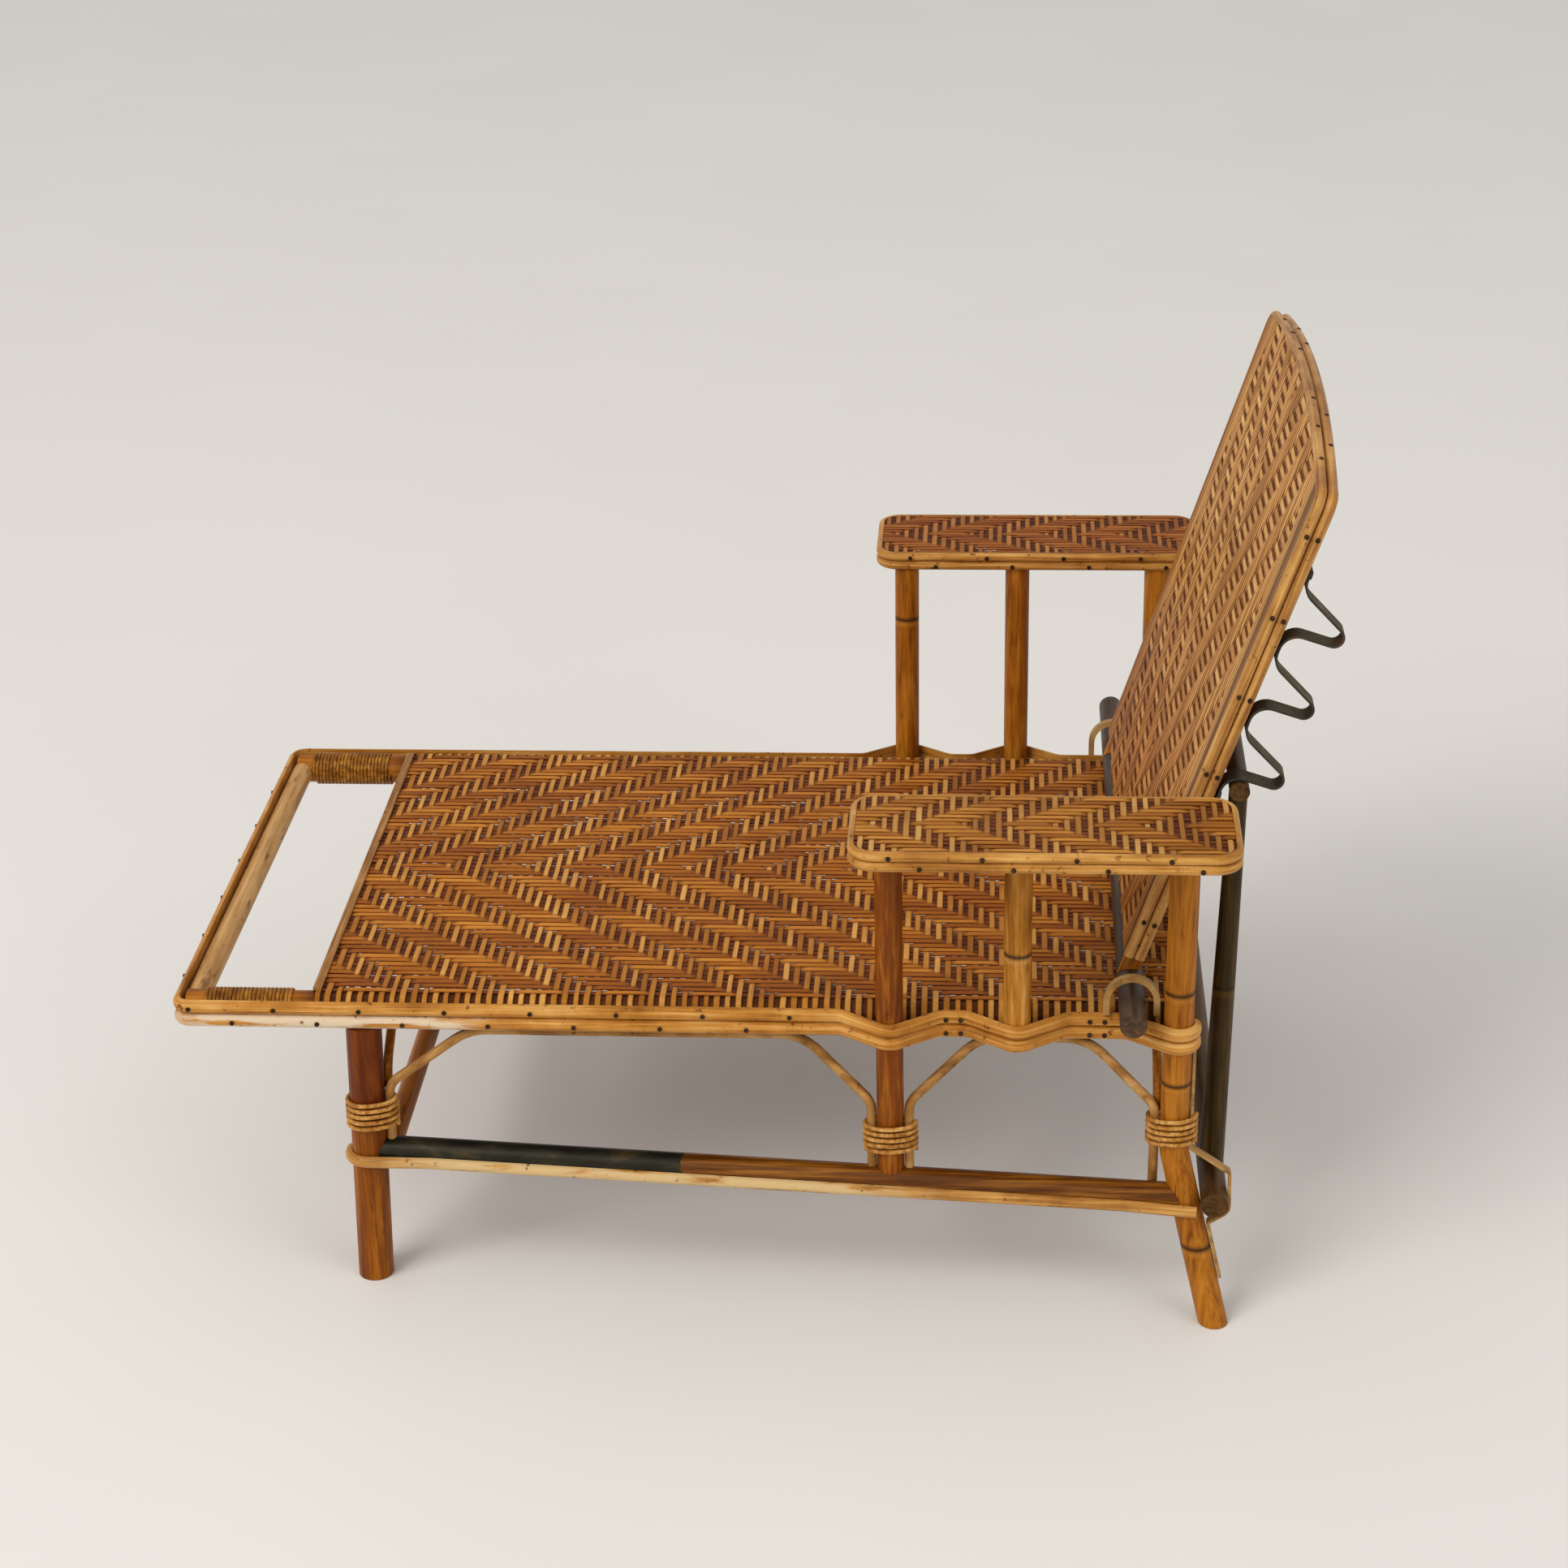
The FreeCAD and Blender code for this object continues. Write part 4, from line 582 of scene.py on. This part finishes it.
back_cross_over = twill(BACK_LONG_COUNT, BACK_CROSS_COUNT)
back_cross_over[:BACK_EDGE_COUNT, :] = False
back_cross_over[-BACK_EDGE_COUNT:, :] = False
back_long = strands("back_long_strands", ~back_cross_over, pitch=back_long_pitch, share=0.93,
                    cell=back_cross_pitch, crosswise=False, place=back_place, seed=41, outside=back_edge)
back_cross = strands("back_cross_strands", back_cross_over.T, pitch=back_cross_pitch, share=0.64,
                     cell=back_long_pitch, crosswise=True, place=back_place, seed=42, outside=back_edge)
# Painted shade: darker towards the foot of the back, and along both edges beside the poles and strips.
back_shade_patches = [Patch("Z", place=0.25, reach=0.18, sharpness=2.0, colour=(0.78, 0.62, 0.40)),
              Patch("Y", place=-0.215, reach=0.050, sharpness=2.0, colour=(0.46, 0.46, 0.56)),
              Patch("Y", place=0.215, reach=0.040, sharpness=2.0, colour=(0.68, 0.60, 0.52))]
back_long.data.materials.append(woven_finish(
    "back_long_cane", ALONG_Z, dark=(0.375, 0.152, 0.025), middle=(0.590, 0.270, 0.062),
    pale=(0.760, 0.415, 0.130), tilt=BACK_TILT, weave_shade_patches=back_shade_patches))
back_cross.data.materials.append(woven_finish(
    "back_cross_cane", ALONG_Y, dark=(0.400, 0.168, 0.030), middle=(0.610, 0.305, 0.082),
    pale=(0.780, 0.470, 0.170), tilt=BACK_TILT, weave_shade_patches=back_shade_patches))
for piece in (back_long, back_cross):
    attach(piece, "back")
    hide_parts("back_weave")


# Frame of the back. Two side poles, a bent top bow and two rails, with two half-round strips
# round the edge, one over the weave and one behind it. It turns on a darker bar at its foot.
dress(pole_finish("back_upright_pole", "Z", middle=(0.34, 0.11, 0.010), tilt=BACK_TILT),
      "back_side_pole_left", "back_side_pole_right")
dress(pole_finish("back_cross_pole", "Y", tilt=BACK_TILT), "back_top_bow", "back_lower_rail",
      "back_middle_rail")
dress(pole_finish("pivot_pole", "Y", dark=(0.022, 0.011, 0.007), middle=(0.055, 0.031, 0.018),
                  pale=(0.120, 0.066, 0.032)), "pivot_bar")
dress(cane_finish("back_strip_cane", (520, 12, 12), STRIP_DARK, (0.43, 0.20, 0.052), STRIP_PALE,
                  roughness=0.42, lacquer=0.1, tilt=BACK_TILT), "back_strip_front", "back_strip_rear")


# Windings on the side rails. A flat cane strand wound tightly round each rail beside the
# hand-hole, its turns side by side. The two run opposite ways round, as a pair.
WINDING_START, WINDING_LENGTH, WINDING_TURNS = -0.3887, 0.064, 22
WINDING_PITCH = WINDING_LENGTH / WINDING_TURNS
RAIL_HEIGHT, RAIL_REACH = 0.2245, 0.201
STRAND_WIDENING = 0.62
WOUND_SMOOTHING = math.radians(60)
MERGE_DISTANCE = 0.00001


def copy_of(node, name):
    """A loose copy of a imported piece, its triangles joined up again."""
    bpy.ops.object.select_all(action="DESELECT")
    piece = bpy.data.objects.new(name, nodes[node].data.copy())
    bpy.context.collection.objects.link(piece)
    piece.data.materials.clear()
    bpy.context.view_layer.objects.active = piece
    piece.select_set(True)
    bpy.ops.object.mode_set(mode="EDIT")
    bpy.ops.mesh.select_all(action="SELECT")
    bpy.ops.mesh.remove_doubles(threshold=MERGE_DISTANCE)
    bpy.ops.mesh.normals_make_consistent(inside=False)
    bpy.ops.object.mode_set(mode="OBJECT")
    return piece


def points_of(mesh):
    points = np.zeros(3 * len(mesh.vertices), dtype=np.float32)
    mesh.vertices.foreach_get("co", points)
    return points.reshape(-1, 3).astype(float)


def bound_finish(name, stretch, dark, middle, pale):
    """Cane wound in turns, each of them a little lighter or darker."""
    finish = start_finish(name, roughness=0.5, lacquer=0.15)
    streaks = noise(finish, stretch, detail=2.0)
    turns = noise(finish, (340, 25, 340), detail=1.0)
    colour = shades(finish, blend(finish, 0.5, streaks, turns), (0.34, dark), (0.5, middle), (0.66, pale))
    cover(finish, colour, streaks, depth=0.0003)
    return finish


winding_cane = bound_finish("winding_cane", (60, 90, 90), dark=(0.11, 0.032, 0.002),
                            middle=(0.255, 0.090, 0.005), pale=(0.44, 0.195, 0.028))
for side_name, side in (("left", -1), ("right", 1)):
    piece = copy_of("rail_winding_" + side_name, "rail_cane_winding_" + side_name)
    points = points_of(piece.data)
    round_the_rail = np.arctan2(points[:, 2] - RAIL_HEIGHT, points[:, 1] - side * RAIL_REACH)
    along_the_rail = 2 * math.pi * (points[:, 0] - WINDING_START) / WINDING_PITCH
    # How far each point is from the middle of its own turn, as a part of the pitch
    circle = np.exp(1j * (along_the_rail + side * round_the_rail))
    off_the_middle = np.angle(circle / circle.mean()) / (2 * math.pi)
    points[:, 0] += off_the_middle * WINDING_PITCH * STRAND_WIDENING
    piece.data.vertices.foreach_set("co", points.astype(np.float32).ravel())
    piece.data.materials.append(winding_cane)
    bpy.ops.object.shade_smooth_by_angle(angle=WOUND_SMOOTHING)
    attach(piece, "frame")
    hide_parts("rail_winding_" + side_name)


# Bindings. Whole thin cane wound four or five times round each leg or post and the feet of its
# braces, pulled tight and tucked under itself.
BINDING_FULLNESS = 0.0002

binding_cane = bound_finish("binding_cane", (40, 40, 260), dark=(0.20, 0.070, 0.009),
                            middle=(0.440, 0.190, 0.035), pale=(0.64, 0.36, 0.11))
for node in ("front_leg_bindings", "post_bindings", "rear_leg_bindings"):
    piece = copy_of(node, node.replace("bindings", "cane_bindings"))
    fuller = piece.modifiers.new("fuller", "DISPLACE")
    fuller.strength = BINDING_FULLNESS
    fuller.mid_level = 0
    bpy.ops.object.modifier_apply(modifier=fuller.name)
    piece.data.materials.append(binding_cane)
    bpy.ops.object.shade_smooth_by_angle(angle=WOUND_SMOOTHING)
    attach(piece, "frame")
    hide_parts(node)


# Prop. Two tapering poles of darker, greenish brown cane between two bars, swinging on the lower
# bar; its upper bar drops into the notches of the rack straps.
PROP_DARK, PROP, PROP_PALE = (0.010, 0.006, 0.001), (0.036, 0.019, 0.003), (0.105, 0.055, 0.009)
dress(pole_finish("prop_upright_pole", "Z", PROP_DARK, PROP, PROP_PALE, rings=(0.245,)),
      "prop_pole_left", "prop_pole_right")
dress(pole_finish("prop_cross_pole", "Y", PROP_DARK, (0.075, 0.030, 0.007), PROP_PALE),
      "prop_top_bar", "prop_bottom_bar")


# Rack straps. Flat mild iron bent into three notches, brown-grey with age, screwed to the back's
# side poles. The rust is rougher than the rest.
rack_iron = start_finish("rack_iron", roughness=0.5, lacquer=0.0)
shader_of(rack_iron).inputs["Metallic"].default_value = 0.55
rust = noise(rack_iron, (70, 70, 70), detail=5.0)
rust_colour = shades(rack_iron, rust, (0.42, (0.040, 0.038, 0.032)), (0.58, (0.070, 0.060, 0.045)),
                     (0.72, (0.120, 0.060, 0.025)))
rust_roughness = shades(rack_iron, rust, (0.35, (0.36, 0.36, 0.36)), (0.7, (0.7, 0.7, 0.7)))
link(rack_iron, rust_roughness, shader_of(rack_iron).inputs["Roughness"])
cover(rack_iron, rust_colour, noise(rack_iron, (500, 500, 500), detail=3.0), depth=0.0002)
dress(rack_iron, "rack_strap_left", "rack_strap_right", "rack_screws")


# Nails. Small forged iron heads, nearly black, driven through the strips into the poles behind
# them: staggered in the two courses round the frame, and side by side on the back.
nail_iron = start_finish("nail_iron", roughness=0.5, lacquer=0.0)
shader_of(nail_iron).inputs["Metallic"].default_value = 0.4
nail_rust = noise(nail_iron, (300, 300, 300), detail=3.0)
nail_colour = shades(nail_iron, nail_rust, (0.4, (0.022, 0.012, 0.008)), (0.65, (0.065, 0.032, 0.018)))
cover(nail_iron, nail_colour, noise(nail_iron, (900, 900, 900), detail=2.0), depth=0.0001)
dress(nail_iron, "frame_nails", "back_nails")


# Nails of the bow. The same nails, driven from above through the two strips that follow the bow
# over the top of the back, those of the rear strip between those of the front one.
BOW_NAILS = {"back_strip_front": (0.055, 0.105, 0.155), "back_strip_rear": (0.080, 0.130)}
NAIL_RADIUS, NAIL_HEIGHT, NAIL_EDGE = 0.0016, 0.0012, 0.0004
BOW_HALF, BOW_RISE = 0.15, 0.03


def bow_strip_face(node):
    """The radius of a strip's outer face on the bow, and the strip's depth in the back."""
    x, y, z = points_of(nodes[node].data).T
    height = (x - PIVOT_X) * TILT_SINE + (z - PIVOT_Z) * TILT_COSINE
    depth = (x - PIVOT_X) * TILT_COSINE - (z - PIVOT_Z) * TILT_SINE
    on_bow = (np.abs(y) < BOW_HALF) & (height > BACK_TOP - BOW_RISE)
    return np.hypot(y, height - BOW_CENTRE)[on_bow].max(), (depth[on_bow].min() + depth[on_bow].max()) / 2


bpy.ops.object.select_all(action="DESELECT")
bpy.ops.mesh.primitive_cylinder_add(vertices=14, radius=NAIL_RADIUS, depth=NAIL_HEIGHT)
first_nail = bpy.context.active_object
worn_edge = first_nail.modifiers.new("worn_edge", "BEVEL")
worn_edge.width = NAIL_EDGE
worn_edge.segments = 2
bpy.ops.object.modifier_apply(modifier=worn_edge.name)
bow_nails = []
for node, distances in BOW_NAILS.items():
    reach, depth = bow_strip_face(node)
    for y in distances + tuple(-distance for distance in distances):
        height = BOW_CENTRE + math.sqrt(reach ** 2 - y ** 2)
        upward = (height - BOW_CENTRE) / reach
        outward = Vector((upward * TILT_SINE, y / reach, upward * TILT_COSINE))
        bpy.ops.object.select_all(action="DESELECT")
        first_nail.select_set(True)
        bpy.context.view_layer.objects.active = first_nail
        bpy.ops.object.duplicate()
        nail = bpy.context.active_object
        nail.location = (PIVOT_X + depth * TILT_COSINE + height * TILT_SINE, y,
                         PIVOT_Z - depth * TILT_SINE + height * TILT_COSINE)
        nail.rotation_euler = outward.to_track_quat("Z", "Y").to_euler()
        bpy.ops.object.transform_apply(location=True, rotation=True, scale=True)
        bow_nails.append(nail)
bpy.data.objects.remove(first_nail)
for nail in bow_nails:
    nail.select_set(True)
bpy.context.view_layer.objects.active = bow_nails[0]
bpy.ops.object.join()
bow_nails = bpy.context.active_object
bow_nails.name = "bow_nails"
bow_nails.data.materials.append(nail_iron)
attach(bow_nails, "back")


# Studio: a plain pale floor, a large soft lamp from the upper left and a weaker one from the
# right, and an even pale surround.
FLOOR_DEPTH, FLOOR_SIZE = -0.0005, 60
LAMP_COLOUR = (1.0, 0.98, 0.95)
LAMP_AIM = Vector((0, 0, 0.25))

bpy.ops.object.select_all(action="DESELECT")
bpy.ops.mesh.primitive_plane_add(size=FLOOR_SIZE, location=(0, 0, FLOOR_DEPTH))
floor = bpy.context.active_object
floor.name = "studio_floor"
floor_finish = start_finish("studio_floor", roughness=0.9, lacquer=0.0)
floor_clouds = noise(floor_finish, (2, 2, 2), detail=2.0)
floor_colour = shades(floor_finish, floor_clouds, (0.3, (0.79, 0.77, 0.74)), (0.7, (0.81, 0.79, 0.76)))
link(floor_finish, floor_colour, shader_of(floor_finish).inputs["Base Color"])
floor.data.materials.append(floor_finish)

world = bpy.data.worlds.new("studio")
bpy.context.scene.world = world
world.use_nodes = True
surround = world.node_tree.nodes["Background"]
surround.inputs["Color"].default_value = (1.0, 0.985, 0.96, 1)
surround.inputs["Strength"].default_value = 0.62


def lamp(name, place, width, power):
    light = bpy.data.lights.new(name, "AREA")
    light.shape = "SQUARE"
    light.size = width
    light.energy = power
    light.color = LAMP_COLOUR
    holder = bpy.data.objects.new(name, light)
    bpy.context.collection.objects.link(holder)
    holder.location = place
    holder.rotation_euler = (LAMP_AIM - Vector(place)).to_track_quat("-Z", "Y").to_euler()


lamp("window_lamp", (-3.9, -4.1, 5.1), width=4.0, power=300)
lamp("fill_lamp", (4.6, -3.6, 3.4), width=3.6, power=70)
bpy.context.scene.view_settings.view_transform = "Standard"


# Camera: a long lens, above the seat and in front of its near side, as the photograph was taken.
# It looks down at the chair and is turned and rolled a little.
YAW, PITCH, ROLL = -0.07298811, 0.44601140, -0.02253081
CAMERA_PLACE = Vector((0.1783, -2.17373, 1.35214))

ahead = Vector((math.sin(YAW) * math.cos(PITCH), math.cos(YAW) * math.cos(PITCH), -math.sin(PITCH)))
level_right = Vector((math.cos(YAW), -math.sin(YAW), 0))
level_up = level_right.cross(ahead)
right = math.cos(ROLL) * level_right + math.sin(ROLL) * level_up
up = math.cos(ROLL) * level_up - math.sin(ROLL) * level_right
camera = bpy.data.objects.new("photo_camera", bpy.data.cameras.new("photo_camera"))
bpy.context.collection.objects.link(camera)
camera.data.sensor_width = 36
camera.data.lens = 72.67
camera.data.clip_end = 100
pose = Matrix((right, up, -ahead)).transposed().to_4x4()
pose.translation = CAMERA_PLACE
camera.matrix_world = pose
bpy.context.scene.camera = camera
